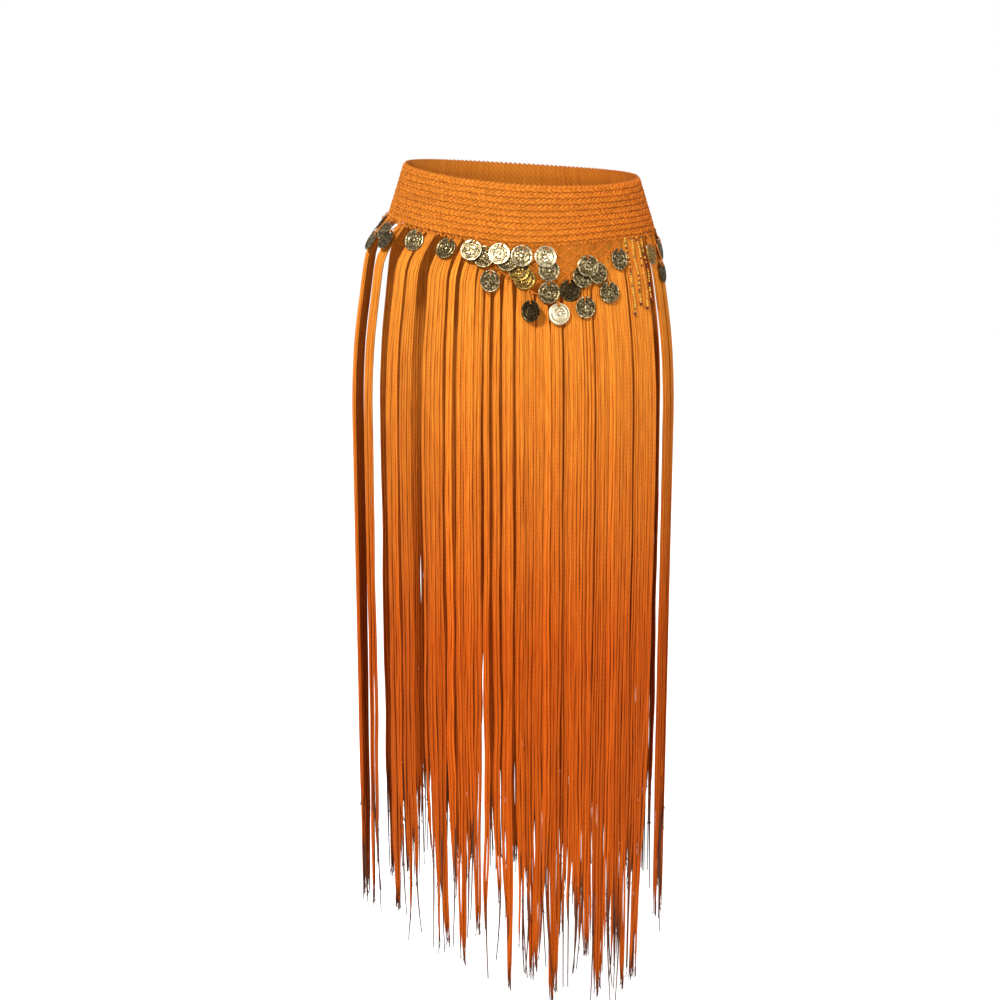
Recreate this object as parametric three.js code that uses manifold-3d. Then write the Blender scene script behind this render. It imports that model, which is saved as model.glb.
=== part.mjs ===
// Belly dance fringe skirt: a ribbed knitted waistband, long yarn fringe all
// round, a V-shaped net with a heap of coins at the front, a row of coins round
// the rest of the band and four strings of beads. Millimetres, +Z up, the
// front faces -Y, and the origin is the middle of the opening of the band.
import * as THREE from 'three';
import { mergeVertices } from 'three/addons/utils/BufferGeometryUtils.js';
import Module from 'manifold-3d';

const wasm = await Module();
wasm.setup();

// Driving dimensions of the waistband, as worn
const WAIST_TOP = { halfWidth: 122, halfDepth: 90 };
const WAIST_FOOT = { halfWidth: 139, halfDepth: 102 };
const BAND_HEIGHT = 57;
const BAND_WALL = 2;
const RIB_HEIGHT = 1.1;
const RIB_COUNT = 9;
const BAND_COLUMNS = 64;

// The band sits lower at the front and on the side towards +X, where its foot
// is drawn up again a little
const FRONT_DIP = 12.5;
const BELLY_DIP = 4.5;
const SIDE_TILT = 9.5;
const SIDE_GROWTH = 4.5;
const FOOT_RISE = 9.5;

// Sections of a general figure below the band, outside the yarn
const HIPS = [
  { z: 0, halfWidth: 141, halfDepth: 103, shiftX: -6, shiftY: 1 },
  { z: -42, halfWidth: 153, halfDepth: 110, shiftX: -9, shiftY: 3 },
  { z: -105, halfWidth: 164, halfDepth: 118, shiftX: -9, shiftY: 5 },
  { z: -160, halfWidth: 171, halfDepth: 124, shiftX: -9, shiftY: 6 },
  { z: -235, halfWidth: 174, halfDepth: 127, shiftX: -9, shiftY: 6 },
  { z: -900, halfWidth: 174, halfDepth: 127, shiftX: -9, shiftY: 6 },
];
const HIP_LINE = HIPS[HIPS.length - 1];
const FLARE_DEPTH = 45;

// Fringe: flat locks of yarn fused into a heading tape under the band. A lock is
// narrow at its root, full a short way down, and tapers towards its end. Angles
// are in degrees.
const SEAM_GAP = 0.3;
const NET_SEAM_GAP = 0.6;
const TAPE_HEIGHT = 4;
const TAPE_THICKNESS = 2.2;
const TAPE_STEP = 7;
const TAPE_END = 0.7;
const NET_TAPE_END = 1.4;
const NET_TAPE_INSET = 0.7;
const LOCK_THICKNESS = 2.2;
const LOCK_FILL = 0.8;
const LOCK_MAX_WIDTH = 6.5;
const LOCK_ROOT = 0.6;
const LOCK_ROOT_SHARE = 0.1;
const LOCK_END_WIDTH = 0.55;
const LOCK_STEPS = 5;
const LOCK_CROWDING = 1.9;
const HEM_SCATTER = 16;
const SWAY = 0.35;
const SWAY_WAVES = 0.75;

// V net, in degrees round the figure from the centre of the front towards +X
const NET = { left: -20.6, right: 46, tip: 12.5, depth: 54 };
const NET_CELLS = 9;
const NET_CELL_WIDTH = 19;
const NET_CORD = 1.8;
const NET_TAPE_HEIGHT = 2.6;
const NET_TOP_GAP = 0.6;
const NET_TOP_CENTRE = 0.42;

// Coins and beads
const COIN_RADIUS = 11;
const COIN_THICKNESS = 0.8;
const COIN_SIDES = 12;
const COIN_HOLE = 2.6;
const COIN_HOLE_OFFSET = 8.2;
const COIN_PIN = 1.7;
const LOOP_CORD = 1.4;
const LOOP_OVERHANG = 0.9;
const LOOP_START = 1.5;
const LOOP_TAIL = 1.5;
const LOOP_CLEARANCE = 0.3;
const LOOP_JOIN = 0.1;
const BEAD_WIDTH = 2.6;
const BEAD_CORD = 1.4;
const BEAD_STEPS = 10;
const BEAD_LIFT = 3.6;
const BEAD_SETTLE = 0.33;
const BEAD_TAPE_END = 1;

// Distances below which points are taken as one, and by which a join is smoothed
const MERGE_DISTANCE = 1e-4;
const JOIN_TOLERANCE = 0.05;
const EDGE_TOLERANCE = 0.01;

// Fringe panels, in degrees round the figure, and the clumps of locks on each.
// hem is the height where the locks of a clump end.
const PANELS = [
  {
    name: 'fringe_front_left', from: NET.left + NET_TAPE_END, to: NET.tip - 0.2, onNet: true,
    clumps: [
      { from: -19.4, to: -17.6, locks: 1, hem: -820 },
      { from: -17.2, to: -14.2, locks: 2, hem: -778 },
      { from: -13.3, to: -11.3, locks: 1, hem: -792 },
      { from: -9.8, to: -8.6, locks: 1, hem: -848 },
      { from: -6.8, to: -5.2, locks: 1, hem: -824 },
      { from: -3.6, to: -0.6, locks: 2, hem: -842 },
      { from: 1, to: 7, locks: 4, hem: -842 },
      { from: 7.8, to: 12, locks: 3, hem: -836 },
    ],
  },
  {
    name: 'fringe_front_right', from: NET.tip + 0.2, to: NET.right - NET_TAPE_END, onNet: true,
    clumps: [
      { from: 13, to: 16.2, locks: 2, hem: -862 },
      { from: 17.6, to: 23.8, locks: 4, hem: -838 },
      { from: 24.3, to: 28.2, locks: 3, hem: -820 },
      { from: 29.6, to: 44.4, locks: 9, hem: -866 },
    ],
  },
  {
    name: 'fringe_right_front', from: NET.right + 0.3, to: 61.8,
    clumps: [{ from: 46.8, to: 58.4, locks: 6, hem: -856 }],
  },
  {
    name: 'fringe_right_side', from: 62.2, to: 107.8,
    clumps: [
      { from: 67, to: 73, locks: 3, hem: -812 },
      { from: 75.5, to: 86, locks: 4, hem: -796 },
      { from: 90, to: 104, locks: 5, hem: -806 },
    ],
  },
  { name: 'fringe_back_1', from: 108.2, to: 134.2, hem: -806 },
  { name: 'fringe_back_2', from: 134.6, to: 160.6, hem: -812 },
  { name: 'fringe_back_3', from: 161, to: 187, hem: -816 },
  { name: 'fringe_back_4', from: 187.4, to: 213.4, hem: -812 },
  { name: 'fringe_back_5', from: 213.8, to: 239.8, hem: -806 },
  {
    name: 'fringe_left_side', from: 240.2, to: 287.8,
    clumps: [
      { from: 254, to: 268, locks: 5, hem: -800 },
      { from: 276.4, to: 281.4, locks: 2, hem: -790 },
    ],
  },
  {
    name: 'fringe_left_hip', from: 288.2, to: 322.8,
    clumps: [
      { from: 295.2, to: 301.6, locks: 3, hem: -778 },
      { from: 310.6, to: 315.9, locks: 3, hem: -770 },
      { from: 317.6, to: 322, locks: 2, hem: -810 },
    ],
  },
  {
    name: 'fringe_left_front', from: 323.2, to: 338.6,
    clumps: [
      { from: 327.6, to: 334.9, locks: 4, hem: -808 },
      { from: 336.6, to: 338.4, locks: 1, hem: -806 },
    ],
  },
];
const BACK_LOCKS = 15;

// Heap of coins on the net. angle is round the figure, drop is from the foot of
// the band to the middle of the coin, lift is out from the yarn, turn is about
// the upright and tip is forward. row and column give the knot that carries it.
const NET_COINS = [
  { angle: -18, drop: 13, lift: 9.2, turn: -4, tip: 0, row: 0, column: 0 },
  { angle: -12.6, drop: 17, lift: 6.8, turn: 2, tip: 2, row: 1, column: 1 },
  { angle: -7.3, drop: 13, lift: 9.2, turn: 0, tip: -3, row: 0, column: 2 },
  { angle: -3.6, drop: 18.5, lift: 6.8, turn: -2, tip: 0, row: 1, column: 2 },
  { angle: 1.3, drop: 14, lift: 9.2, turn: 3, tip: 0, row: 0, column: 3 },
  { angle: 1.3, drop: 27, lift: 4.8, turn: 0, tip: 2, row: 2, column: 2 },
  { angle: 3.6, drop: 35, lift: 2.9, turn: 0, tip: 0, row: 4, column: 1 },
  { angle: 10.2, drop: 15, lift: 9.2, turn: -4, tip: -3, row: 0, column: 4 },
  { angle: 12, drop: 28, lift: 6.8, turn: 3, tip: 0, row: 3, column: 3 },
  { angle: 12.2, drop: 49, lift: 4.6, turn: -2, tip: 0, row: 7, column: 1 },
  { angle: 15.4, drop: 70.5, lift: 6.8, turn: 2, tip: -4, row: 9, column: 0 },
  { angle: 20.1, drop: 48, lift: 2.5, turn: 0, tip: 0, row: 5, column: 3 },
  { angle: 25.2, drop: 66, lift: 4.6, turn: 3, tip: 0, row: 5, column: 4 },
  { angle: 26.8, drop: 26.5, lift: 9.2, turn: -3, tip: 0, row: 1, column: 6 },
  { angle: 25.1, drop: 36, lift: 4.4, turn: 0, tip: 0, row: 4, column: 4 },
  { angle: 31, drop: 34, lift: 6.8, turn: 2, tip: 2, row: 2, column: 6 },
  { angle: 35.6, drop: 54, lift: 4.4, turn: -5, tip: 0, row: 3, column: 6 },
  { angle: 42.3, drop: 23, lift: 4.4, turn: 4, tip: 0, row: 1, column: 8 },
  { angle: -8.4, drop: 39, lift: 8.6, turn: 35, tip: 0, row: 4, column: 0 },
  { angle: 5.6, drop: 66.5, lift: 8.6, turn: -35, tip: 0, row: 7, column: 0 },
];

// Coins of the row round the rest of the band
const ROW_COINS = [
  { angle: 65.5, drop: 22.5, lift: 4.4, turn: 5, tip: 0 },
  { angle: 74, drop: 43, lift: 4.4, turn: 0, tip: 0 },
  { angle: 82, drop: 21.5, lift: 4.4, turn: -5, tip: 2 },
  { angle: 97, drop: 13, lift: 4.4, turn: 4, tip: 0 },
  { angle: 114, drop: 13, lift: 4.4, turn: -4, tip: 0 },
  { angle: 128, drop: 13, lift: 4.4, turn: 6, tip: 0 },
  { angle: 141, drop: 13, lift: 4.4, turn: 0, tip: 2 },
  { angle: 154, drop: 13, lift: 4.4, turn: -6, tip: 0 },
  { angle: 167, drop: 13, lift: 4.4, turn: 5, tip: 0 },
  { angle: 180, drop: 13, lift: 4.4, turn: -3, tip: 0 },
  { angle: 193, drop: 13, lift: 4.4, turn: 4, tip: 0 },
  { angle: 206, drop: 13, lift: 4.4, turn: -5, tip: 2 },
  { angle: 219, drop: 13, lift: 4.4, turn: 3, tip: 0 },
  { angle: 232, drop: 13, lift: 4.4, turn: -4, tip: 0 },
  { angle: 246, drop: 13, lift: 4.4, turn: 5, tip: 0 },
  { angle: 261, drop: 13, lift: 4.4, turn: 0, tip: 0 },
  { angle: 276, drop: 13, lift: 4.4, turn: -6, tip: 0 },
  { angle: 284, drop: 26, lift: 4.4, turn: 4, tip: 0 },
  { angle: 292, drop: 13, lift: 4.4, turn: 4, tip: 0 },
  { angle: 300, drop: 20, lift: 6.8, turn: -3, tip: 0 },
  { angle: 314.5, drop: 13, lift: 4.4, turn: 8, tip: 3 },
  { angle: 331, drop: 14, lift: 4.4, turn: -5, tip: 0 },
];

// Strings of beads over the fringe beside the net
const BEAD_STRINGS = [
  { angle: 47.4, length: 80 },
  { angle: 51.4, length: 71 },
  { angle: 55.4, length: 76 },
  { angle: 58.6, length: 68 },
];

const yarn = new THREE.MeshStandardMaterial({ color: '#e8701a', roughness: 0.9, metalness: 0 });
const bandYarn = new THREE.MeshStandardMaterial({ color: '#e87f26', roughness: 0.9, metalness: 0 });
const coinMetal = new THREE.MeshStandardMaterial({ color: '#a8905a', roughness: 0.32, metalness: 0.95 });
const beadGlass = new THREE.MeshStandardMaterial({ color: '#c4601c', roughness: 0.2, metalness: 0 });

const radians = THREE.MathUtils.degToRad;
const clamp = THREE.MathUtils.clamp;
const lerp = THREE.MathUtils.lerp;
const smoothstep = THREE.MathUtils.smoothstep;

// A repeatable spread of values from -1 to 1, with a draw of its own for each use
function scatter(angle, draw) {
  const value = Math.sin(angle * 129.898 + draw * 78.233) * 43758.5453;
  return 2 * (value - Math.floor(value)) - 1;
}

function bandMiddle(angle) {
  const front = Math.cos(radians(angle));
  return -SIDE_TILT * Math.sin(radians(angle)) - FRONT_DIP * front - BELLY_DIP * front * front;
}

// How far the foot of the band is drawn up on the side towards +X
function footRise(angle) {
  const side = (angle + 540) % 360 - 180;
  return FOOT_RISE * (smoothstep(side, -10, 50) - smoothstep(side, 60, 160));
}

// Height of the band's wall at a share of the way down from its top edge
function bandLevel(angle, share) {
  const height = BAND_HEIGHT + SIDE_GROWTH * Math.sin(radians(angle));
  return bandMiddle(angle) + height * (0.5 - share) + footRise(angle) * share;
}

function bandFoot(angle) {
  return bandLevel(angle, 1);
}

// Smooth value of one column of the table of sections at a height
function figureSize(z, column) {
  let row = 0;
  while (row < HIPS.length - 2 && z < HIPS[row + 1].z) row += 1;
  const slope = (at) => {
    const above = HIPS[Math.max(at - 1, 0)];
    const below = HIPS[Math.min(at + 1, HIPS.length - 1)];
    return (below[column] - above[column]) / (below.z - above.z);
  };
  const upper = HIPS[row];
  const lower = HIPS[row + 1];
  const span = lower.z - upper.z;
  const t = clamp((z - upper.z) / span, 0, 1);
  const hermite = [
    2 * t ** 3 - 3 * t ** 2 + 1,
    t ** 3 - 2 * t ** 2 + t,
    -2 * t ** 3 + 3 * t ** 2,
    t ** 3 - t ** 2,
  ];
  const endSlope = row + 1 >= HIPS.length - 2 ? 0 : slope(row + 1);
  const startSlope = row >= HIPS.length - 2 ? 0 : slope(row);
  return hermite[0] * upper[column] + hermite[1] * span * startSlope
    + hermite[2] * lower[column] + hermite[3] * span * endSlope;
}

// Point on the surface that the yarn hangs over, below the foot of the band
function skin(angle, z) {
  const across = Math.sin(radians(angle));
  const front = Math.cos(radians(angle));
  const depth = clamp((bandFoot(angle) - z) / FLARE_DEPTH, 0, 1);
  const flare = 1 - (1 - depth) ** 2;
  const x = figureSize(z, 'shiftX') + figureSize(z, 'halfWidth') * across;
  const y = figureSize(z, 'shiftY') - figureSize(z, 'halfDepth') * front;
  return new THREE.Vector3(
    lerp(WAIST_FOOT.halfWidth * across, x, flare),
    lerp(-WAIST_FOOT.halfDepth * front, y, flare),
    z,
  );
}

// Directions along the surface and out of it
function skinFrame(angle, z, reach = 2) {
  const across = skin(angle + 0.5, z).sub(skin(angle - 0.5, z)).normalize();
  const up = skin(angle, z + reach).sub(skin(angle, z - reach)).normalize();
  const out = across.clone().cross(up).normalize();
  return { across, up, out };
}

// The same, moved straight out sideways, for what lies level under the band
function sidePoint(angle, z, lift) {
  const across = skinFrame(angle, z).across;
  const level = across.cross(new THREE.Vector3(0, 0, 1)).normalize();
  return skin(angle, z).addScaledVector(level, lift);
}

// Moves every vertex of a geometry by a function of its place
function bend(geometry, place) {
  const position = geometry.attributes.position;
  const vertex = new THREE.Vector3();
  for (let i = 0; i < position.count; i += 1) {
    vertex.fromBufferAttribute(position, i);
    const moved = place(vertex);
    position.setXYZ(i, moved.x, moved.y, moved.z);
  }
  geometry.deleteAttribute('normal');
  geometry.deleteAttribute('uv');
  return mergeVertices(geometry, MERGE_DISTANCE);
}

function toSolid(geometry) {
  return new wasm.Manifold(new wasm.Mesh({
    numProp: 3,
    vertProperties: new Float32Array(geometry.attributes.position.array),
    triVerts: new Uint32Array(geometry.index.array),
  }));
}

function joined(geometries) {
  let solid = toSolid(geometries[0]);
  for (const geometry of geometries.slice(1)) {
    solid = solid.add(toSolid(geometry));
  }
  const mesh = solid.asOriginal().simplify(JOIN_TOLERANCE).getMesh();
  const result = new THREE.BufferGeometry();
  result.setAttribute('position', new THREE.BufferAttribute(mesh.vertProperties, 3));
  result.setIndex(new THREE.BufferAttribute(mesh.triVerts, 1));
  return result;
}

// Waistband: ribs raised outside over a plain inside, turned as a ring and then
// laid on the oval, tilted waist
function waistband() {
  const ring = 100;
  const rows = RIB_COUNT * 2;
  const profile = [];
  for (let row = 0; row <= rows; row += 1) {
    const crest = row % 2 === 1 ? RIB_HEIGHT : 0;
    profile.push(new THREE.Vector2(ring + BAND_WALL / 2 + crest, row / rows));
  }
  for (const share of [1, 0.5, 0]) {
    profile.push(new THREE.Vector2(ring - BAND_WALL / 2, share));
  }
  profile.push(profile[0].clone());
  const turned = new THREE.LatheGeometry(profile, BAND_COLUMNS);
  return bend(turned, (vertex) => {
    const angle = Math.atan2(vertex.x, -vertex.z);
    const out = Math.hypot(vertex.x, vertex.z) - ring;
    const share = vertex.y;
    const width = lerp(WAIST_TOP.halfWidth, WAIST_FOOT.halfWidth, share) + out;
    const depth = lerp(WAIST_TOP.halfDepth, WAIST_FOOT.halfDepth, share) + out;
    return new THREE.Vector3(
      width * Math.sin(angle),
      -depth * Math.cos(angle),
      bandLevel(THREE.MathUtils.radToDeg(angle), share),
    );
  });
}

// Height of the net at an angle, a number of rows of knots down from its tape
function netLevel(angle, rows) {
  return bandFoot(angle) - SEAM_GAP - NET_TAPE_HEIGHT / 2 - NET.depth * rows / NET_CELLS;
}

// Upper edge of a panel's heading tape: under the band, or under the net
function tapeTop(panel, angle) {
  if (!panel.onNet) return bandFoot(angle) - SEAM_GAP;
  const side = angle < NET.tip ? NET.left : NET.right;
  const rows = NET_CELLS * (angle - side) / (NET.tip - side);
  return netLevel(angle, rows) - netEdgeDrop() - NET_SEAM_GAP;
}

// The tapes tied to the net lie a little inside it, clear of the coins' loops
function tapeLift(panel) {
  return panel.onNet ? -NET_TAPE_INSET : 0;
}

// A strip that follows the surface between two angles
function tape(from, to, top, height, lift, thickness) {
  const steps = Math.max(2, Math.ceil(Math.abs(to - from) / TAPE_STEP));
  const box = new THREE.BoxGeometry(1, 1, 1, steps, 1, 1);
  return bend(box, (vertex) => {
    const angle = lerp(from, to, vertex.x + 0.5);
    const z = top(angle) - height * (0.5 - vertex.z);
    return sidePoint(angle, z, lift - vertex.y * thickness);
  });
}

// One flat lock of yarn, hanging from its root in the tape down to its hem
function lock(angle, width, rootZ, hemZ, rootLift) {
  const box = new THREE.BoxGeometry(1, 1, 1, 1, 1, LOCK_STEPS);
  return bend(box, (vertex) => {
    const share = (0.5 - vertex.z) ** LOCK_CROWDING;
    const z = lerp(rootZ, hemZ, share);
    const sway = SWAY * scatter(angle, 1) * Math.sin(2 * Math.PI * SWAY_WAVES * share);
    const grown = clamp(share / LOCK_ROOT_SHARE, 0, 1);
    const full = lerp(LOCK_ROOT, 1, grown);
    const narrow = full - (1 - LOCK_END_WIDTH) * share ** 2;
    const frame = skinFrame(angle + sway, z);
    return skin(angle + sway, z)
      .addScaledVector(frame.across, vertex.x * width * narrow)
      .addScaledVector(frame.out, rootLift * (1 - grown) - vertex.y * LOCK_THICKNESS * narrow);
  });
}

function clumpsOf(panel) {
  if (panel.clumps) return panel.clumps;
  return [{ from: panel.from + TAPE_END, to: panel.to - TAPE_END, locks: BACK_LOCKS, hem: panel.hem }];
}

// All locks of a panel, from its clumps
function locksOf(panel) {
  const pieces = [];
  for (const clump of clumpsOf(panel)) {
    const step = (clump.to - clump.from) / clump.locks;
    for (let i = 0; i < clump.locks; i += 1) {
      const angle = clump.from + step * (i + 0.5);
      const across = HIP_LINE.halfWidth * Math.cos(radians(angle));
      const along = HIP_LINE.halfDepth * Math.sin(radians(angle));
      const pitch = radians(step) * Math.hypot(across, along);
      const width = Math.min(pitch * LOCK_FILL, LOCK_MAX_WIDTH);
      const rootZ = tapeTop(panel, angle) - TAPE_HEIGHT / 2;
      const hemZ = clump.hem + HEM_SCATTER * scatter(angle, 2);
      pieces.push(lock(angle, width, rootZ, hemZ, tapeLift(panel)));
    }
  }
  return pieces;
}

// A straight cord of square section between two points
function cordBetween(start, end, size) {
  const way = end.clone().sub(start);
  const box = new THREE.BoxGeometry(size, size, way.length());
  const turn = new THREE.Quaternion().setFromUnitVectors(new THREE.Vector3(0, 0, 1), way.normalize());
  const middle = start.clone().add(end).multiplyScalar(0.5);
  return bend(box, (vertex) => vertex.clone().applyQuaternion(turn).add(middle));
}

// Angle round the figure of a place along the net, counted in cells
function netAngle(cell) {
  const share = cell / NET_CELLS;
  if (share < 0.5) return lerp(NET.left, NET.tip, share * 2);
  return lerp(NET.tip, NET.right, share * 2 - 1);
}

// Half of a cord's thickness, measured straight down from the net's slanted edge
function netEdgeDrop() {
  const rise = NET.depth / NET_CELLS;
  return NET_CORD / 2 * Math.hypot(rise, NET_CELL_WIDTH / 2) / (NET_CELL_WIDTH / 2);
}

// The face of a knot of the net, where a coin's loop starts
function knotFace(row, column) {
  const angle = netAngle(column + row / 2);
  return sidePoint(angle, netLevel(angle, row), LOOP_START);
}

// Cells of the net: a corner is counted in cells across and rows of knots down,
// and the gap takes up the given share of its cell
function netCells() {
  const rise = NET.depth / NET_CELLS;
  const inner = rise * NET_CELL_WIDTH / 2 / Math.hypot(rise, NET_CELL_WIDTH / 2);
  const cells = [];
  for (let row = 0; row < NET_CELLS; row += 1) {
    for (let column = 0; column < NET_CELLS - row; column += 1) {
      const middle = column + row / 2 + 0.5;
      const corners = [[middle - 0.5, row], [middle, row + 1], [middle + 0.5, row]];
      if (row > 0) corners.push([middle, row - 1]);
      const centre = row > 0 ? [middle, row] : [middle, NET_TOP_CENTRE];
      const share = row > 0 ? 1 - NET_CORD / 2 / inner : NET_TOP_GAP;
      cells.push({ corners, gap: corners.map((corner) => towards(centre, corner, share)) });
    }
  }
  return cells;
}

function towards(start, end, share) {
  return [lerp(start[0], end[0], share), lerp(start[1], end[1], share)];
}

// Place of a corner of the net on its outer face, side 1, or its inner face, -1
function netPlace([cell, row], side) {
  const angle = netAngle(cell);
  const fromEdge = Math.min(Math.abs(cell - row / 2), Math.abs(NET_CELLS - cell - row / 2));
  const onEdge = fromEdge < EDGE_TOLERANCE;
  const z = netLevel(angle, row) - (onEdge ? netEdgeDrop() : 0);
  return sidePoint(angle, z, side * NET_CORD / 2);
}

function addQuad(faces, a, b, c, d) {
  faces.push(a, b, c, a, c, d);
}

// The net: a flat frame of cord round each gap, with walls round the outside
function netFrames() {
  const faces = [];
  const edges = new Map();
  for (const { corners, gap } of netCells()) {
    corners.forEach((corner, i) => {
      const next = (i + 1) % corners.length;
      const outer = [netPlace(corner, 1), netPlace(corners[next], 1)];
      const inner = [netPlace(corner, -1), netPlace(corners[next], -1)];
      const gapOuter = [netPlace(gap[i], 1), netPlace(gap[next], 1)];
      const gapInner = [netPlace(gap[i], -1), netPlace(gap[next], -1)];
      addQuad(faces, outer[0], outer[1], gapOuter[1], gapOuter[0]);
      addQuad(faces, gapInner[0], gapInner[1], inner[1], inner[0]);
      addQuad(faces, gapOuter[0], gapOuter[1], gapInner[1], gapInner[0]);
      edges.set(`${corner}>${corners[next]}`, [outer[1], outer[0], inner[0], inner[1]]);
    });
  }
  for (const [name, wall] of edges) {
    const [start, end] = name.split('>');
    if (!edges.has(`${end}>${start}`)) addQuad(faces, ...wall);
  }
  const geometry = new THREE.BufferGeometry().setFromPoints(faces);
  return mergeVertices(geometry, MERGE_DISTANCE);
}

// Where a coin lies: its middle, the directions of its plane, and its hole
function coinFrame(coin) {
  const z = bandFoot(coin.angle) - coin.drop;
  const frame = skinFrame(coin.angle, z, COIN_RADIUS / 2);
  const turn = new THREE.Quaternion().setFromAxisAngle(frame.up, radians(coin.turn));
  const tip = new THREE.Quaternion().setFromAxisAngle(frame.across, radians(coin.tip));
  const spin = turn.multiply(tip);
  const out = frame.out.clone().applyQuaternion(spin);
  const up = frame.up.clone().applyQuaternion(spin);
  const middle = skin(coin.angle, z).addScaledVector(frame.out, coin.lift);
  const hole = middle.clone().addScaledVector(up, COIN_HOLE_OFFSET);
  return { middle, out, up, across: up.clone().cross(out), hole };
}

function coinDisc(frame) {
  const outline = new THREE.Shape();
  const hole = new THREE.Path();
  for (let side = 0; side < COIN_SIDES; side += 1) {
    const angle = 2 * Math.PI * (side + 0.5) / COIN_SIDES;
    const x = COIN_RADIUS * Math.cos(angle);
    const y = COIN_RADIUS * Math.sin(angle);
    if (side === 0) outline.moveTo(x, y);
    else outline.lineTo(x, y);
  }
  outline.closePath();
  const half = COIN_HOLE / 2;
  hole.moveTo(-half, COIN_HOLE_OFFSET - half);
  hole.lineTo(-half, COIN_HOLE_OFFSET + half);
  hole.lineTo(half, COIN_HOLE_OFFSET + half);
  hole.lineTo(half, COIN_HOLE_OFFSET - half);
  hole.closePath();
  outline.holes.push(hole);
  const disc = new THREE.ExtrudeGeometry(outline, { depth: COIN_THICKNESS, bevelEnabled: false });
  const basis = new THREE.Matrix4().makeBasis(frame.across, frame.up, frame.out.clone());
  basis.setPosition(frame.middle);
  return bend(disc, (vertex) => {
    vertex.z -= COIN_THICKNESS / 2;
    return vertex.applyMatrix4(basis);
  });
}

// The yarn loop that carries a coin: from its anchor to just behind the hole,
// and then straight through it
function coinLoop(coin, anchor) {
  const frame = coinFrame(coin);
  const clear = COIN_THICKNESS / 2 + LOOP_CORD / 2 + LOOP_CLEARANCE;
  const behind = frame.hole.clone().addScaledVector(frame.out, -clear);
  const ahead = frame.hole.clone().addScaledVector(frame.out, COIN_THICKNESS / 2 + LOOP_OVERHANG);
  const inner = behind.clone().addScaledVector(frame.out, LOOP_JOIN - LOOP_CORD / 2);
  const back = anchor.clone().sub(behind).setLength(LOOP_TAIL);
  return [cordBetween(anchor.clone().add(back), behind, LOOP_CORD), squarePin(inner, ahead, frame)];
}

// A pin of square section, turned with the coin's hole
function squarePin(start, end, frame) {
  const box = new THREE.BoxGeometry(COIN_PIN, COIN_PIN, start.distanceTo(end));
  const basis = new THREE.Matrix4().makeBasis(frame.across, frame.up, frame.out.clone());
  basis.setPosition(start.clone().add(end).multiplyScalar(0.5));
  return bend(box, (vertex) => vertex.applyMatrix4(basis));
}

function coinNet() {
  const top = (angle) => bandFoot(angle) - SEAM_GAP;
  const heading = tape(NET.left, NET.right, top, NET_TAPE_HEIGHT, 0, TAPE_THICKNESS);
  const loops = NET_COINS.flatMap((coin) => coinLoop(coin, knotFace(coin.row, coin.column)));
  return joined([netFrames(), heading, ...loops]);
}

function isOn(panel, coin) {
  return !panel.onNet && coin.angle > panel.from && coin.angle < panel.to;
}

function fringePanel(panel) {
  const top = (angle) => tapeTop(panel, angle);
  const heading = tape(panel.from, panel.to, top, TAPE_HEIGHT, tapeLift(panel), TAPE_THICKNESS);
  const loops = ROW_COINS.filter((coin) => isOn(panel, coin)).flatMap((coin) => {
    const anchor = skin(coin.angle, bandFoot(coin.angle) - SEAM_GAP - TAPE_HEIGHT / 2);
    return coinLoop(coin, anchor);
  });
  return joined([heading, ...locksOf(panel), ...loops]);
}

// Bead strings on a short tape of their own, outside the fringe
function beadStrings() {
  const first = BEAD_STRINGS[0].angle - BEAD_TAPE_END;
  const last = BEAD_STRINGS[BEAD_STRINGS.length - 1].angle + BEAD_TAPE_END;
  const top = (angle) => bandFoot(angle) - 2 * SEAM_GAP;
  const pieces = [tape(first, last, top, NET_TAPE_HEIGHT, TAPE_THICKNESS + SEAM_GAP, TAPE_THICKNESS)];
  for (const string of BEAD_STRINGS) {
    const rootZ = top(string.angle) - NET_TAPE_HEIGHT / 2;
    const box = new THREE.BoxGeometry(1, 1, 1, 1, 1, BEAD_STEPS);
    pieces.push(bend(box, (vertex) => {
      const share = 0.5 - vertex.z;
      const bead = Math.round(share * BEAD_STEPS) % 2 === 1;
      const size = bead ? BEAD_WIDTH : BEAD_CORD;
      const z = rootZ - string.length * share;
      const frame = skinFrame(string.angle, z);
      const lift = lerp(TAPE_THICKNESS + SEAM_GAP, BEAD_LIFT, clamp(share / BEAD_SETTLE, 0, 1));
      return skin(string.angle, z)
        .addScaledVector(frame.out, lift - vertex.y * size)
        .addScaledVector(frame.across, vertex.x * size);
    }));
  }
  return joined(pieces);
}

const group = new THREE.Group();

function addPiece(name, geometry, material) {
  const mesh = new THREE.Mesh(geometry, material);
  mesh.name = name;
  group.add(mesh);
}

addPiece('waistband', waistband(), bandYarn);
PANELS.forEach((panel) => addPiece(panel.name, fringePanel(panel), yarn));
addPiece('coin_net', coinNet(), yarn);
addPiece('bead_strings', beadStrings(), beadGlass);
NET_COINS.forEach((coin, i) => addPiece(`net_coin_${i + 1}`, coinDisc(coinFrame(coin)), coinMetal));
ROW_COINS.forEach((coin, i) => addPiece(`row_coin_${i + 1}`, coinDisc(coinFrame(coin)), coinMetal));

export default group;
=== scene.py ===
import math

import bmesh
import bpy
import numpy as np
from mathutils import Matrix, Vector


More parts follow.
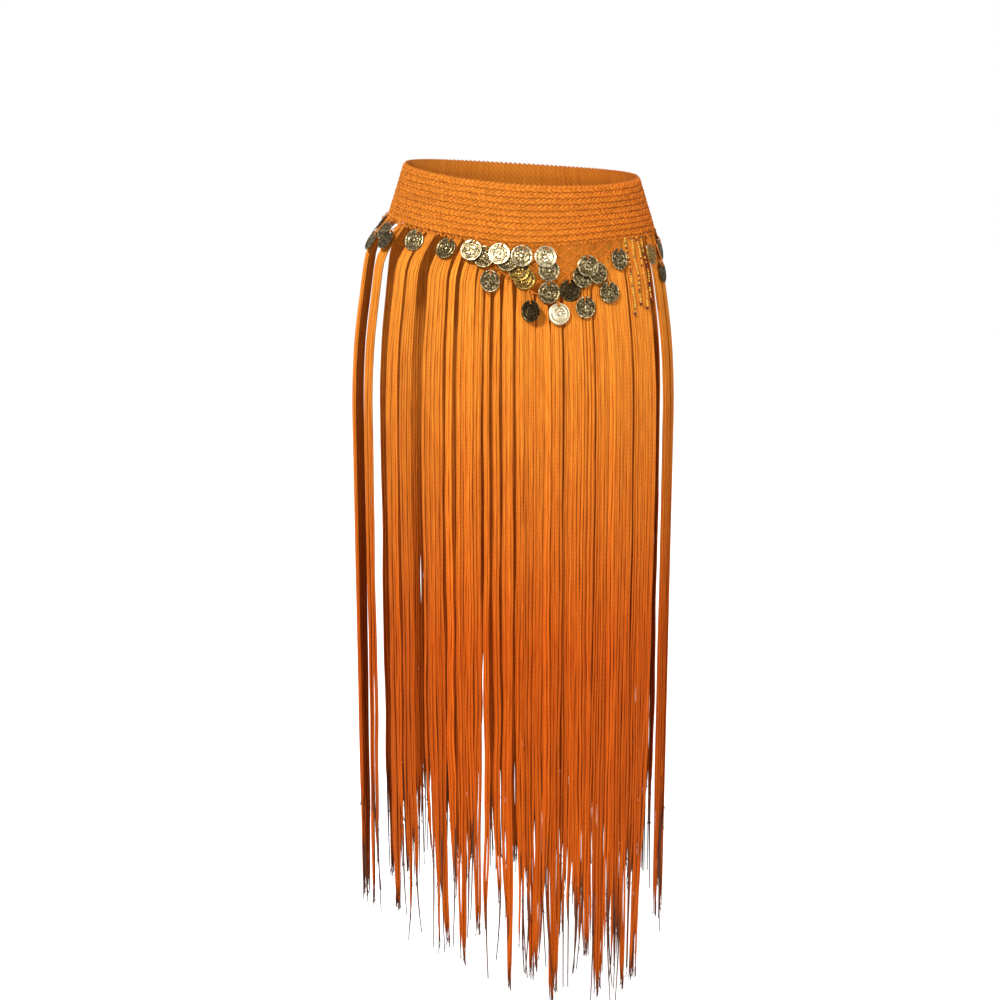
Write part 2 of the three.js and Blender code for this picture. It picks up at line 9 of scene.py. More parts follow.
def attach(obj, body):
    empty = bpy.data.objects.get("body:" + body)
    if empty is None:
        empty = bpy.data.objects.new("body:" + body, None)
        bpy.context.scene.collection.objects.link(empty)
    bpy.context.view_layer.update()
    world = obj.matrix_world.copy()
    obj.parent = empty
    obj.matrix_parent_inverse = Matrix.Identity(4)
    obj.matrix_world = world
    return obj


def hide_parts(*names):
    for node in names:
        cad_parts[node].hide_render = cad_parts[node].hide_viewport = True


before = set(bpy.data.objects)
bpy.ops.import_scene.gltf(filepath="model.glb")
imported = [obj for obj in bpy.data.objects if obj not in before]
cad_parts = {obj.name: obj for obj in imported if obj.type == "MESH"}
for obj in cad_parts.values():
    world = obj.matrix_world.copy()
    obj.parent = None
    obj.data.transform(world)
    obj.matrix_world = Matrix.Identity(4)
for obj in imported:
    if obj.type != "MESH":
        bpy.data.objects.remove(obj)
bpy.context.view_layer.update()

# Camera, floor and studio light
# The camera stands level with the waistband and looks down a little. The skirt
# hangs over a plain white floor, lit by one soft lamp from above the camera.
PHOTO_WIDTH = 1000
FOCAL_PIXELS = 1480
CAMERA_PLACE = (-0.023, -1.6, -0.0025)
HORIZON_RISE = 300
CAMERA_DIP = math.atan(HORIZON_RISE / FOCAL_PIXELS)
FLOOR_HEIGHT = -0.905

scene = bpy.context.scene
scene.view_settings.view_transform = "Standard"

lens = bpy.data.cameras.new("camera")
lens.lens = lens.sensor_width * FOCAL_PIXELS / PHOTO_WIDTH
camera = bpy.data.objects.new("camera", lens)
camera.location = CAMERA_PLACE
camera.rotation_euler = (math.pi / 2 - CAMERA_DIP, 0, 0)
scene.collection.objects.link(camera)
scene.camera = camera


def set_inputs(node, values):
    """Sets the inputs of a node that are given."""
    for socket, value in values.items():
        node.inputs[socket].default_value = value


def add_node(tree, kind, values=None, **settings):
    """A new shader node with its settings and the inputs that are given."""
    node = tree.nodes.new("ShaderNode" + kind)
    for name, value in settings.items():
        setattr(node, name, value)
    set_inputs(node, values or {})
    return node


def add_ramp(tree, *stops):
    """A new colour ramp through its stops, each a position and a colour."""
    node = add_node(tree, "ValToRGB")
    first, *between, last = stops
    for element, (position, colour) in zip(node.color_ramp.elements, (first, last)):
        element.position = position
        element.color = (*colour, 1)
    for position, colour in between:
        node.color_ramp.elements.new(position).color = (*colour, 1)
    return node


def link_nodes(tree, *links):
    """Joins an output of one node to an input of another, for each link."""
    for giver, output, taker, socket in links:
        tree.links.new(giver.outputs[output], taker.inputs[socket])


def add_object(name, mesh, material):
    """A new object at the origin that shows a mesh in one material."""
    mesh.materials.clear()
    mesh.materials.append(material)
    piece = bpy.data.objects.new(name, mesh)
    scene.collection.objects.link(piece)
    return piece


def finish_mesh(bm, name, smooth=False):
    """Turns a bmesh into a mesh, smooth all over if that is asked, and frees it."""
    if smooth:
        for face in bm.faces:
            face.smooth = True
    mesh = bpy.data.meshes.new(name)
    bm.to_mesh(mesh)
    bm.free()
    return mesh


def plain_material(name, colour, roughness, more):
    """A material of one colour with more inputs of its shader set, and the shader."""
    material = bpy.data.materials.new(name)
    material.use_nodes = True
    shader = material.node_tree.nodes["Principled BSDF"]
    set_inputs(shader, {"Base Color": (*colour, 1), "Roughness": roughness, **more})
    return material, shader


# The floor looks white to the eye, yet throws little light back up at the skirt
floor_material, floor_shader = plain_material(
    "studio floor", (0.9, 0.9, 0.9), 0.9, {"Emission Color": (1, 1, 1, 1), "Emission Strength": 0.45},
)
floor_tree = floor_material.node_tree
floor_seen = add_node(floor_tree, "LightPath")
floor_grey = add_node(floor_tree, "BsdfDiffuse", {"Color": (0.42, 0.41, 0.4, 1)})
floor_choice = add_node(floor_tree, "MixShader")
link_nodes(
    floor_tree,
    (floor_seen, "Is Camera Ray", floor_choice, "Fac"),
    (floor_grey, 0, floor_choice, 1),
    (floor_shader, 0, floor_choice, 2),
    (floor_choice, 0, floor_tree.nodes["Material Output"], "Surface"),
)
floor_bm = bmesh.new()
bmesh.ops.create_circle(floor_bm, cap_ends=True, segments=96, radius=9)
bmesh.ops.translate(floor_bm, verts=floor_bm.verts, vec=(0, 0, FLOOR_HEIGHT))
add_object("studio_floor", finish_mesh(floor_bm, "studio_floor"), floor_material)

LAMP_AIM = Vector((0, 0, -0.3))
LAMPS = (
    # name, place, size, watts
    ("key", (-0.85, -2.0, 1.1), 0.28, 56),
    ("fill", (1.9, -1.5, 0.3), 1.4, 17),
    ("back", (0.4, 2.2, 1.5), 1.2, 30),
)
for name, place, size, watts in LAMPS:
    lamp = bpy.data.lights.new(name, "AREA")
    lamp.size = size
    lamp.energy = watts
    lamp_object = bpy.data.objects.new(name, lamp)
    lamp_object.location = place
    lamp_object.rotation_euler = (LAMP_AIM - Vector(place)).to_track_quat("-Z", "Y").to_euler()
    scene.collection.objects.link(lamp_object)

# The sky of the studio: white to the eye, softer and darker towards the floor for the coins
studio = bpy.data.worlds.new("studio")
studio.use_nodes = True
scene.world = studio
sky = studio.node_tree
seen = add_node(sky, "LightPath")
direction = add_node(sky, "TexCoord")
height = add_node(sky, "SeparateXYZ")
shades = add_ramp(sky, (0.42, (0.22, 0.22, 0.22)), (0.8, (0.8, 0.8, 0.82)))
white = add_node(sky, "Background", {"Color": (1, 1, 1, 1)})
lighting = sky.nodes["Background"]
choice = add_node(sky, "MixShader")
remap = add_node(sky, "MapRange", {"From Min": -1})
link_nodes(
    sky,
    (direction, "Generated", height, 0),
    (height, "Z", remap, "Value"),
    (remap, "Result", shades, "Fac"),
    (shades, "Color", lighting, "Color"),
    (seen, "Is Camera Ray", choice, "Fac"),
    (lighting, 0, choice, 1),
    (white, 0, choice, 2),
    (choice, 0, sky.nodes["World Output"], "Surface"),
)

# Waistband: the knitted cloth
# One stretch band of soft acrylic yarn, worked in the round in nine ribs with
# elastic between them, so that each row of stitches stands out as a low roll.
BAND_TOP = (0.122, 0.090)
BAND_FOOT = (0.139, 0.102)
BAND_HEIGHT = 0.057
BAND_WALL = 0.002
BAND_RIBS = 9
RIB_HEIGHT = 0.0011
FRONT_DIP = 0.0125
BELLY_DIP = 0.0045
SIDE_TILT = 0.0095
SIDE_GROWTH = 0.0045
FOOT_RISE = 0.0095
RISE_START, RISE_END = (-10, 50), (60, 160)
RING = 0.1
RING_STEPS = 180
RIB_POINTS = 6
STITCHES_ROUND = 148


def smooth_step(value, low, high):
    """Smooth rise from 0 to 1 between two values."""
    t = np.clip((value - low) / (high - low), 0, 1)
    return t * t * (3 - 2 * t)


def foot_rise(angle):
    """How far the foot of the band is drawn up on its right side."""
    side = (np.asarray(angle) + 540) % 360 - 180
    return FOOT_RISE * (smooth_step(side, *RISE_START) - smooth_step(side, *RISE_END))


def band_level(angle, share):
    """Height of the band's wall at an angle in degrees and a share of the way down it."""
    side = np.sin(np.radians(angle))
    front = np.cos(np.radians(angle))
    middle = -SIDE_TILT * side - FRONT_DIP * front - BELLY_DIP * front**2
    return middle + (BAND_HEIGHT + SIDE_GROWTH * side) * (0.5 - share) + foot_rise(angle) * share


def band_place(angle, share, out):
    """Point out from the middle of the band's wall. Angle 0 is the front, 90 is +X."""
    width = BAND_TOP[0] + (BAND_FOOT[0] - BAND_TOP[0]) * share + out
    depth = BAND_TOP[1] + (BAND_FOOT[1] - BAND_TOP[1]) * share + out
    across = width * np.sin(np.radians(angle))
    along = -depth * np.cos(np.radians(angle))
    return np.stack(np.broadcast_arrays(across, along, band_level(angle, share)), axis=-1)


def rib_rise(share):
    """How far the ribs stand out at a share of the way down the band."""
    return RIB_HEIGHT * np.sin(math.pi * BAND_RIBS * share) ** 2


def places_of(mesh):
    """Places of all vertices of a mesh."""
    return np.array([vertex.co[:] for vertex in mesh.vertices])


def set_places(mesh, places):
    """Moves every vertex of a mesh."""
    mesh.vertices.foreach_set("co", np.asarray(places, dtype=np.float32).ravel())
    mesh.update()


def unwrap_ring(mesh, girth, height):
    """Gives a ring-like mesh a map that counts its stitches round it and metres up it."""
    places = places_of(mesh)
    turns = np.degrees(np.arctan2(places[:, 0], -places[:, 1])) / 360
    rise = (places[:, 2] - places[:, 2].min()) / np.ptp(places[:, 2])
    uv = mesh.uv_layers.new(name="UVMap")
    for face in mesh.polygons:
        corners = [turns[i] for i in face.vertices]
        wraps = max(corners) - min(corners) > 0.5
        for loop, corner, turn in zip(face.loop_indices, face.vertices, corners):
            round_it = turn + 1 if wraps and turn < 0 else turn
            uv.data[loop].uv = (round_it * girth, rise[corner] * height)


shell_bm = bmesh.new()
outline = []
for step in range(BAND_RIBS * RIB_POINTS + 1):
    share = step / (BAND_RIBS * RIB_POINTS)
    outline.append((RING + BAND_WALL / 2 + rib_rise(share), share))
for share in (1, 0.75, 0.5, 0.25, 0):
    outline.append((RING - BAND_WALL / 2, share))
corners = [shell_bm.verts.new((0, -radius, share)) for radius, share in outline]
edges = [shell_bm.edges.new((corners[i - 1], corners[i])) for i in range(len(corners))]
bmesh.ops.spin(
    shell_bm, geom=corners + edges, cent=(0, 0, 0), axis=(0, 0, 1),
    angle=2 * math.pi, steps=RING_STEPS, use_merge=True,
)
bmesh.ops.recalc_face_normals(shell_bm, faces=shell_bm.faces)
band_mesh = finish_mesh(shell_bm, "band_cloth", smooth=True)
unwrap_ring(band_mesh, STITCHES_ROUND, BAND_HEIGHT)
ring_places = places_of(band_mesh)
ring_angles = np.degrees(np.arctan2(ring_places[:, 0], -ring_places[:, 1]))
ring_out = np.hypot(ring_places[:, 0], ring_places[:, 1]) - RING
set_places(band_mesh, band_place(ring_angles, ring_places[:, 2], ring_out))


def yarn_group():
    """Twisted yarn: plies that wind round it, with loose fibres, as a colour and a height."""
    group = bpy.data.node_groups.new("twisted yarn", "ShaderNodeTree")
    for name, kind, value in (
        ("Along", "NodeSocketVector", (0, 0, 0)),
        ("Twists", "NodeSocketFloat", 100),
        ("Ply", "NodeSocketFloat", 0.25),
        ("Light", "NodeSocketColor", (1, 1, 1, 1)),
        ("Dark", "NodeSocketColor", (0, 0, 0, 1)),
    ):
        group.interface.new_socket(name, in_out="INPUT", socket_type=kind).default_value = value
    group.interface.new_socket("Color", in_out="OUTPUT", socket_type="NodeSocketColor")
    group.interface.new_socket("Height", in_out="OUTPUT", socket_type="NodeSocketFloat")
    given = group.nodes.new("NodeGroupInput")
    result = group.nodes.new("NodeGroupOutput")
    each = add_node(group, "NewGeometry")
    apart = add_node(group, "Math", {1: 61}, operation="MULTIPLY")
    shifted = add_node(group, "VectorMath", operation="ADD")
    place = add_node(group, "SeparateXYZ")
    wind = add_node(group, "Math", operation="MULTIPLY_ADD")
    turns = add_node(group, "Math", {1: 2 * math.pi}, operation="MULTIPLY")
    wave = add_node(group, "Math", operation="SINE")
    ply = add_node(group, "MapRange", {"From Min": -1})
    stretch = add_node(group, "VectorMath", {1: (11, 22, 1)}, operation="MULTIPLY")
    fibres = add_node(group, "TexNoise", {"Scale": 1, "Detail": 5})
    blend = add_node(group, "Math", operation="MULTIPLY_ADD")
    streaks = add_node(group, "MapRange", {"From Min": 0.3, "From Max": 0.72})
    rest = add_node(group, "Math", {0: 1.15}, operation="SUBTRACT")
    soften = add_node(group, "Math", operation="MULTIPLY")
    tint = add_node(group, "Mix", data_type="RGBA")
    link_nodes(
        group,
        (each, "Random Per Island", apart, 0),
        (given, "Along", shifted, 0),
        (apart, 0, shifted, 1),
        (shifted, 0, place, 0),
        (place, "Y", wind, 0),
        (given, "Twists", wind, 1),
        (place, "X", wind, 2),
        (wind, 0, turns, 0),
        (turns, 0, wave, 0),
        (wave, 0, ply, "Value"),
        (shifted, 0, stretch, 0),
        (stretch, 0, fibres, "Vector"),
        (given, "Ply", rest, 1),
        (fibres, "Fac", streaks, "Value"),
        (streaks, "Result", soften, 0),
        (rest, 0, soften, 1),
        (given, "Ply", blend, 1),
        (ply, "Result", blend, 0),
        (soften, 0, blend, 2),
        (blend, 0, tint, "Factor"),
        (given, "Dark", tint, "A"),
        (given, "Light", tint, "B"),
        (tint, "Result", result, "Color"),
        (blend, 0, result, "Height"),
    )
    return group


TWISTED_YARN = yarn_group()


def inside_group():
    """Painted shade: how much of its colour a surface of the skirt keeps, darker where it faces the inside,
    for little light reaches there.
    """
    group = bpy.data.node_groups.new("inside of the skirt", "ShaderNodeTree")
    group.interface.new_socket("Darkest", in_out="INPUT", socket_type="NodeSocketFloat").default_value = 0.8
    group.interface.new_socket("Light", in_out="OUTPUT", socket_type="NodeSocketFloat")
    given = group.nodes.new("NodeGroupInput")
    result = group.nodes.new("NodeGroupOutput")
    place = add_node(group, "TexCoord")
    flat = add_node(group, "VectorMath", {1: (1, 1, 0)}, operation="MULTIPLY")
    away = add_node(group, "VectorMath", operation="NORMALIZE")
    facing = add_node(group, "VectorMath", operation="DOT_PRODUCT")
    amount = add_node(
        group, "MapRange", {"From Min": -0.5, "From Max": 0.6}, interpolation_type="SMOOTHSTEP",
    )
    link_nodes(
        group,
        (place, "Object", flat, 0),
        (flat, 0, away, 0),
        (place, "Normal", facing, 0),
        (away, 0, facing, 1),
        (facing, "Value", amount, "Value"),
        (given, "Darkest", amount, "To Min"),
        (amount, "Result", result, "Light"),
    )
    return group


INSIDE_LIGHT = inside_group()
WORN_TIP = (0.11, 0.06, 0.04)


def yarn_material(name, colours, fade, twists, ply, bump):
    """Soft acrylic yarn. Its light and dark colours fade to deeper ones along an axis, the
    piece's own shade attribute sets how bright each length is, and worn tips are brown."""
    light, dark, far_light, far_dark = colours
    axis, fade_start, fade_end = fade
    material, shader = plain_material(name, light, 0.9, {"Specular IOR Level": 0.1, "Sheen Weight": 0.02})
    tree = material.node_tree
    along = add_node(tree, "UVMap", uv_map="UVMap")
    place = add_node(tree, "TexCoord")
    level = add_node(tree, "SeparateXYZ")
    depth = add_node(tree, "MapRange", {"From Min": fade_start, "From Max": fade_end})
    lights = add_node(tree, "Mix", {"A": (*light, 1), "B": (*far_light, 1)}, data_type="RGBA")
    darks = add_node(tree, "Mix", {"A": (*dark, 1), "B": (*far_dark, 1)}, data_type="RGBA")
    yarn = add_node(tree, "Group", {"Twists": twists, "Ply": ply}, node_tree=TWISTED_YARN)
    # Painted shade: yarn that faces the inside of the skirt is darkened.
    inside = add_node(tree, "Group", node_tree=INSIDE_LIGHT)
    shade = add_node(tree, "Attribute", attribute_name="shade")
    amount = add_node(tree, "Math", operation="MULTIPLY")
    shading = add_node(tree, "Mix", {"Factor": 1}, data_type="RGBA", blend_type="MULTIPLY")
    worn = add_node(tree, "MapRange", {"From Min": 0.25, "From Max": 0.6})
    tip = add_node(tree, "Mix", {"A": (*WORN_TIP, 1)}, data_type="RGBA")
    relief = add_node(tree, "Bump", {"Strength": bump, "Distance": 0.0006})
    link_nodes(
        tree,
        (place, "Object", level, 0),
        (level, axis, depth, "Value"),
        (depth, "Result", lights, "Factor"),
        (depth, "Result", darks, "Factor"),
        (along, "UV", yarn, "Along"),
        (lights, "Result", yarn, "Light"),
        (darks, "Result", yarn, "Dark"),
        (yarn, "Color", shading, "A"),
        (shade, "Fac", amount, 0),
        (inside, "Light", amount, 1),
        (amount, 0, shading, "B"),
        (shade, "Fac", worn, "Value"),
        (worn, "Result", tip, "Factor"),
        (shading, "Result", tip, "B"),
        (tip, "Result", shader, "Base Color"),
        (yarn, "Height", relief, "Height"),
        (relief, "Normal", shader, "Normal"),
    )
    return material


def set_values(mesh, values, name="shade"):
    """Stores a number at each vertex, such as how bright its yarn is."""
    layer = mesh.attributes.new(name, "FLOAT", "POINT")
    layer.data.foreach_set("value", np.asarray(values, dtype=np.float32))


BAND_COLOURS = (
    # light and dark on the left, light and dark on the right; the deeper, redder pair on the right is
    # painted shade of the side turned from the key lamp
    (0.88, 0.3, 0.03), (0.5, 0.11, 0.007), (0.84, 0.24, 0.018), (0.44, 0.075, 0.004),
)
BAND_SIDE_SHADE = ("X", 0.0, 0.13)
# The cloth's shade attribute paints it darker in the furrows between the ribs and on its inside: painted
# shade.
FURROW_SHADE, RIB_SHADE, INSIDE_SHADE = 0.64, 0.22, 0.8
band_yarn = yarn_material("band yarn", BAND_COLOURS, BAND_SIDE_SHADE, 2, 0.2, 0.5)
cloth_yarn = yarn_material("band cloth", BAND_COLOURS, BAND_SIDE_SHADE, 160, 0.25, 0.6)
cloth_rise = rib_rise(ring_places[:, 2]) / RIB_HEIGHT
set_values(band_mesh, np.where(ring_out > 0, FURROW_SHADE + RIB_SHADE * cloth_rise, INSIDE_SHADE))
band_cloth = add_object("band_cloth", band_mesh, cloth_yarn)

# Waistband: its stitches and chain edge
# Each rib is a row of chain stitches. A stitch is a V on its side, made of two
# short lengths of yarn, and the top edge is bound off with a finer chain.
STITCH_LENGTH = 0.0060
STITCH_WIDTH = 0.0022
STITCH_DEPTH = 0.0021
STITCH_SLANT = 60
STITCH_SPREAD = 0.23
STITCH_STAGGER = 0.37
STITCH_LIFT = 0.7
STITCH_BELLY = 0.35
CHAIN_LINKS = 150
CHAIN_SIZE = (0.0020, 0.0017, 0.0062)
CHAIN_SLANT = 68
CHAIN_SHARES = (-0.002, 0.016)
CHAIN_OUT = 0.0009


def scatter(place, draw):
    """Repeatable spread of values from -1 to 1, with a draw of its own for each use."""
    value = np.sin(np.asarray(place) * 129.898 + draw * 78.233) * 43758.5453
    return 2 * (value - np.floor(value)) - 1


def applied_mesh(holder):
    """A new mesh of an object with its modifiers applied."""
    shown = holder.evaluated_get(bpy.context.evaluated_depsgraph_get())
    return bpy.data.meshes.new_from_object(shown)


def copies(mesh, count):
    """One mesh made of a number of copies of a small one, by an Array modifier."""
    holder = bpy.data.objects.new("copies", mesh)
    scene.collection.objects.link(holder)
    array = holder.modifiers.new("copies", "ARRAY")
    array.count = count
    array.use_relative_offset = False
    result = applied_mesh(holder)
    bpy.data.objects.remove(holder)
    return result


def grain(size):
    """A short plump length of yarn, upright and centred."""
    bm = bmesh.new()
    bm.loops.layers.uv.new("UVMap")
    bmesh.ops.create_uvsphere(bm, u_segments=6, v_segments=5, radius=0.5, calc_uvs=True)
    for vertex in bm.verts:
        belly = 1 + STITCH_BELLY * (0.25 - vertex.co.z**2)
        vertex.co = (vertex.co.x * size[0] * belly, vertex.co.y * size[1] * belly, vertex.co.z * size[2])
    return finish_mesh(bm, "grain", smooth=True)


def unit(vectors):
    """The same directions, one metre long."""
    return vectors / np.linalg.norm(vectors, axis=-1, keepdims=True)


def lay_grains(size, angles, shares, outs, slants, shades):
    """Lays a length of yarn on the band at each place, slanted in its surface."""
    small = grain(size)
    shape = places_of(small)
    mesh = copies(small, len(angles))
    across = unit(band_place(angles + 0.4, shares, outs) - band_place(angles - 0.4, shares, outs))
    up = unit(band_place(angles, shares - 0.02, outs) - band_place(angles, shares + 0.02, outs))
    out = np.cross(across, up)
    turn = np.radians(slants)[:, None]
    length = up * np.cos(turn) + across * np.sin(turn)
    width = across * np.cos(turn) - up * np.sin(turn)
    middles = band_place(angles, shares, outs)
    places = (
        middles[:, None]
        + shape[None, :, :1] * width[:, None]
        + shape[None, :, 1:2] * out[:, None]
        + shape[None, :, 2:] * length[:, None]
    )
    set_places(mesh, places)
    set_values(mesh, np.repeat(shades, len(shape)))
    return mesh


leg_count = 2 * BAND_RIBS * STITCHES_ROUND
leg = np.arange(leg_count)
leg_row, leg_index = np.divmod(leg, STITCHES_ROUND)
leg_rib, leg_line = np.divmod(leg_row, 2)
leg_side = np.where(leg_line == 0, 1, -1)
leg_angle = (leg_index + STITCH_STAGGER * leg_rib) * 360 / STITCHES_ROUND + scatter(leg, 1) * 0.35
leg_share = (leg_rib + 0.5 - leg_side * STITCH_SPREAD + scatter(leg, 2) * 0.05) / BAND_RIBS
leg_slant = leg_side * STITCH_SLANT + scatter(leg, 3) * 9
leg_out = BAND_WALL / 2 + RIB_HEIGHT * STITCH_LIFT + scatter(leg, 4) * 0.0003
leg_shade = 0.96 + scatter(leg, 5) * 0.16 + scatter(leg_row, 6) * 0.05
stitch_mesh = lay_grains(
    (STITCH_WIDTH, STITCH_DEPTH, STITCH_LENGTH), leg_angle, leg_share, leg_out, leg_slant, leg_shade,
)
band_stitches = add_object("band_stitches", stitch_mesh, band_yarn)

link_index = np.arange(2 * CHAIN_LINKS)
chain_mesh = lay_grains(
    CHAIN_SIZE, link_index * 180 / CHAIN_LINKS,
    np.where(link_index % 2 == 0, *CHAIN_SHARES), np.full(2 * CHAIN_LINKS, CHAIN_OUT),
    np.where(link_index % 2 == 0, 1, -1) * CHAIN_SLANT + scatter(link_index, 6) * 5,
    0.86 + scatter(link_index, 7) * 0.1,
)
band_chain = add_object("band_chain", chain_mesh, band_yarn)

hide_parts("waistband")
for piece in (band_cloth, band_stitches, band_chain):
    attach(piece, "root")

# Fringe
# Lengths of flat soft yarn, folded over a heading under the band and knotted
# there, so that each hangs as a lock of a few yarns down to an uneven hem. At
# the front they are tied into the two lower edges of the coin net.
HIPS = np.array((
    # height, half width, half depth, shift in x, shift in y
    (0, 0.141, 0.103, -0.006, 0.001),
    (-0.042, 0.153, 0.110, -0.009, 0.003),
    (-0.105, 0.164, 0.118, -0.009, 0.005),
    (-0.160, 0.171, 0.124, -0.009, 0.006),
    (-0.235, 0.174, 0.127, -0.009, 0.006),
    (-0.900, 0.174, 0.127, -0.009, 0.006),
))
FLARE_DEPTH = 0.045
SEAM_GAP = 0.0003
HEADING_HEIGHT = 0.004
NET_LEFT, NET_TIP, NET_RIGHT = -20.6, 12.5, 46
NET_DEPTH = 0.054
NET_CELLS = 9
NET_HEADING = 0.0026
NET_EDGE_DROP = 0.0018

FRINGE = (
    # name, tied to the net, and the clumps of locks: first and last angle, locks,
    # hem, lean in degrees at the hem
    ("front_left", True, (
        (-19.4, -17.6, 1, -0.820, 0.6), (-17.2, -14.2, 2, -0.778, 0.4), (-13.3, -11.3, 1, -0.792, 0.3),
        (-9.8, -8.6, 1, -0.848, 0), (-6.8, -5.2, 1, -0.824, 0.5), (-3.6, -0.6, 2, -0.842, 0),
        (1, 7, 4, -0.842, 0.2), (7.8, 12, 3, -0.836, 0),
    )),
    ("front_right", True, (
        (13, 16.2, 2, -0.862, 0), (17.6, 23.8, 4, -0.838, 0), (24.3, 28.2, 3, -0.820, 0),
        (29.6, 44.4, 9, -0.866, -0.4),
    )),
    ("right_front", False, ((46.8, 52.6, 3, -0.856, -1.5), (52.6, 58.4, 3, -0.84, -4.5))),
    ("right_side", False, (
        (67, 73, 3, -0.812, 0.5), (75.5, 86, 4, -0.796, 0.6), (90, 104, 5, -0.806, 0),
    )),
    ("back_1", False, ((108.9, 133.5, 15, -0.806, 0), (133.5, 135.3, 1, -0.808, 0))),
    ("back_2", False, ((135.3, 159.9, 15, -0.812, 0), (159.9, 161.7, 1, -0.81, 0))),
    ("back_3", False, ((161.7, 186.3, 15, -0.816, 0), (186.3, 188.1, 1, -0.812, 0))),
    ("back_4", False, (
        (188.1, 191.38, 2, -0.812, -3.2), (191.38, 194.66, 2, -0.812, 3.2),
        (194.66, 212.7, 11, -0.812, 0.3), (212.7, 214.5, 1, -0.81, 0),
    )),
    ("back_5", False, ((214.5, 239.1, 15, -0.806, 0),)),
    ("left_side", False, ((254, 268, 5, -0.800, 0), (276.4, 281.4, 2, -0.790, 0.5))),
    ("left_hip", False, (
        (295.2, 301.6, 3, -0.778, -0.6), (310.6, 315.9, 3, -0.770, 0.4), (317.6, 322, 2, -0.810, 0.8),
    )),
    ("left_front", False, (
        (327.6, 334.9, 4, -0.808, 1.4), (336.6, 338.4, 1, -0.806, 0.8),
    )),
)
HEM_SCATTER = 0.016
LONG_LOCKS = (-26, -18.5, -12.3, -1.35, 6.25, 8.5, 13.8, 15.4, 26.25, 27.55, 32.1, 33.7, 43.6)
LONG_SHARE = 0.35
RAGGED_REACH = (0.014, 0.13)
RAGGED_MIDDLE = 0.74
STRAGGLER_DRAW = 0.82
STRAGGLER_REACH = (0.4, 0.3)
LOCK_CROWDING = 1.12
BACK_CROWDING = 1.5
BACK_SPACING = 0.0009
BACK_CALM = 0.3
FRONT_ANGLE = 46
BACK_ANGLE = 108
YARN_STEP = 0.37
LOCK_WIDTH = 0.0072
LOCK_WAVE, LOCK_WAVES = 0.0009, 2.2
YARN_WAVE, YARN_WAVES = 0.0004, 6.5
LOCK_DRIFT, YARN_DRIFT = 0.0017, 0.0011
LOCK_LIFT, YARN_LIFT = 0.0016, 0.0007
YARN_LAYERS = (-0.0007, 0.0008)
# shares of a yarn's length where its knot ends, and where it gathers, thins and browns
KNOT_SHARE = 0.05
GATHER_START, THIN_START, WORN_START = 0.86, 0.96, 0.965
YARN_WIDTH = 0.0029
YARN_THICKNESS = 0.0017
YARN_SPACING = 0.0012
YARN_SIDES = 6
YARN_STEPS = 44
FIBRE_SIDES = 3
FIBRE_STEPS = 5
FIBRE_LENGTH = 0.009
FIBRE_RADIUS = 0.0004
FIBRES_PER_YARN = 2
WISP_RADIUS = 0.0011
FIBRE_SHADE = 0.36
RIGHT = (1.0, 0, 0)
FRONT = (0, -1.0, 0)


def hip_size(height, column):
    """Smooth value of one column of HIPS at each height."""
    levels = HIPS[:, 0]
    values = HIPS[:, column]
    slopes = np.zeros(len(HIPS))
    for row in range(len(HIPS) - 2):
        above = max(row - 1, 0)
        slopes[row] = (values[row + 1] - values[above]) / (levels[row + 1] - levels[above])
    row = np.clip(np.searchsorted(-levels, -np.asarray(height), side="right") - 1, 0, len(HIPS) - 2)
    span = levels[row + 1] - levels[row]
    t = np.clip((height - levels[row]) / span, 0, 1)
    return (
        (2 * t**3 - 3 * t**2 + 1) * values[row]
        + (t**3 - 2 * t**2 + t) * span * slopes[row]
        + (3 * t**2 - 2 * t**3) * values[row + 1]
        + (t**3 - t**2) * span * slopes[row + 1]
    )


def skin(angle, height):
    """Points of the surface that the yarn hangs over, below the foot of the band."""
    side = np.sin(np.radians(angle))
    front = np.cos(np.radians(angle))
    depth = np.clip((band_level(angle, 1) - height) / FLARE_DEPTH, 0, 1)
    flare = 1 - (1 - depth) ** 2
    x = hip_size(height, 3) + hip_size(height, 1) * side
    y = hip_size(height, 4) - hip_size(height, 2) * front
    x = BAND_FOOT[0] * side * (1 - flare) + x * flare
    y = -BAND_FOOT[1] * front * (1 - flare) + y * flare
    return np.stack((x, y, np.broadcast_to(height, x.shape)), axis=-1)


def skin_frame(angle, height):
    """Directions round the skin, up it and out of it at each point."""
    across = unit(skin(angle + 0.5, height) - skin(angle - 0.5, height))
    up = unit(skin(angle, height + 0.002) - skin(angle, height - 0.002))
    return across, up, np.cross(across, up)


def net_level(angle, rows):
    """Height of the coin net, a number of rows of knots below its heading."""
    return band_level(angle, 1) - SEAM_GAP - NET_HEADING / 2 - NET_DEPTH * rows / NET_CELLS


def heading_top(angle, on_net):
    """Height of the upper edge of a fringe heading."""
    if not on_net:
        return band_level(angle, 1) - SEAM_GAP
    side = NET_LEFT if angle < NET_TIP else NET_RIGHT
    rows = NET_CELLS * (angle - side) / (NET_TIP - side)
    return net_level(angle, rows) - NET_EDGE_DROP


def tube(name, sides, steps):
    """A straight capped tube of radius 1 and length 1, with a map round and along it."""
    bm = bmesh.new()
    bm.loops.layers.uv.new("UVMap")
    bmesh.ops.create_grid(bm, x_segments=sides, y_segments=steps, size=1, calc_uvs=True)
    for vertex in bm.verts:
        turn = math.pi * vertex.co.x
        vertex.co = (math.sin(turn), -math.cos(turn), (vertex.co.y + 1) / 2)
    bmesh.ops.remove_doubles(bm, verts=bm.verts, dist=1e-4)
    bmesh.ops.holes_fill(bm, edges=[edge for edge in bm.edges if edge.is_boundary], sides=0)
    bmesh.ops.recalc_face_normals(bm, faces=bm.faces)
    for face in bm.faces:
        face.smooth = len(face.verts) == 4
    return finish_mesh(bm, name)


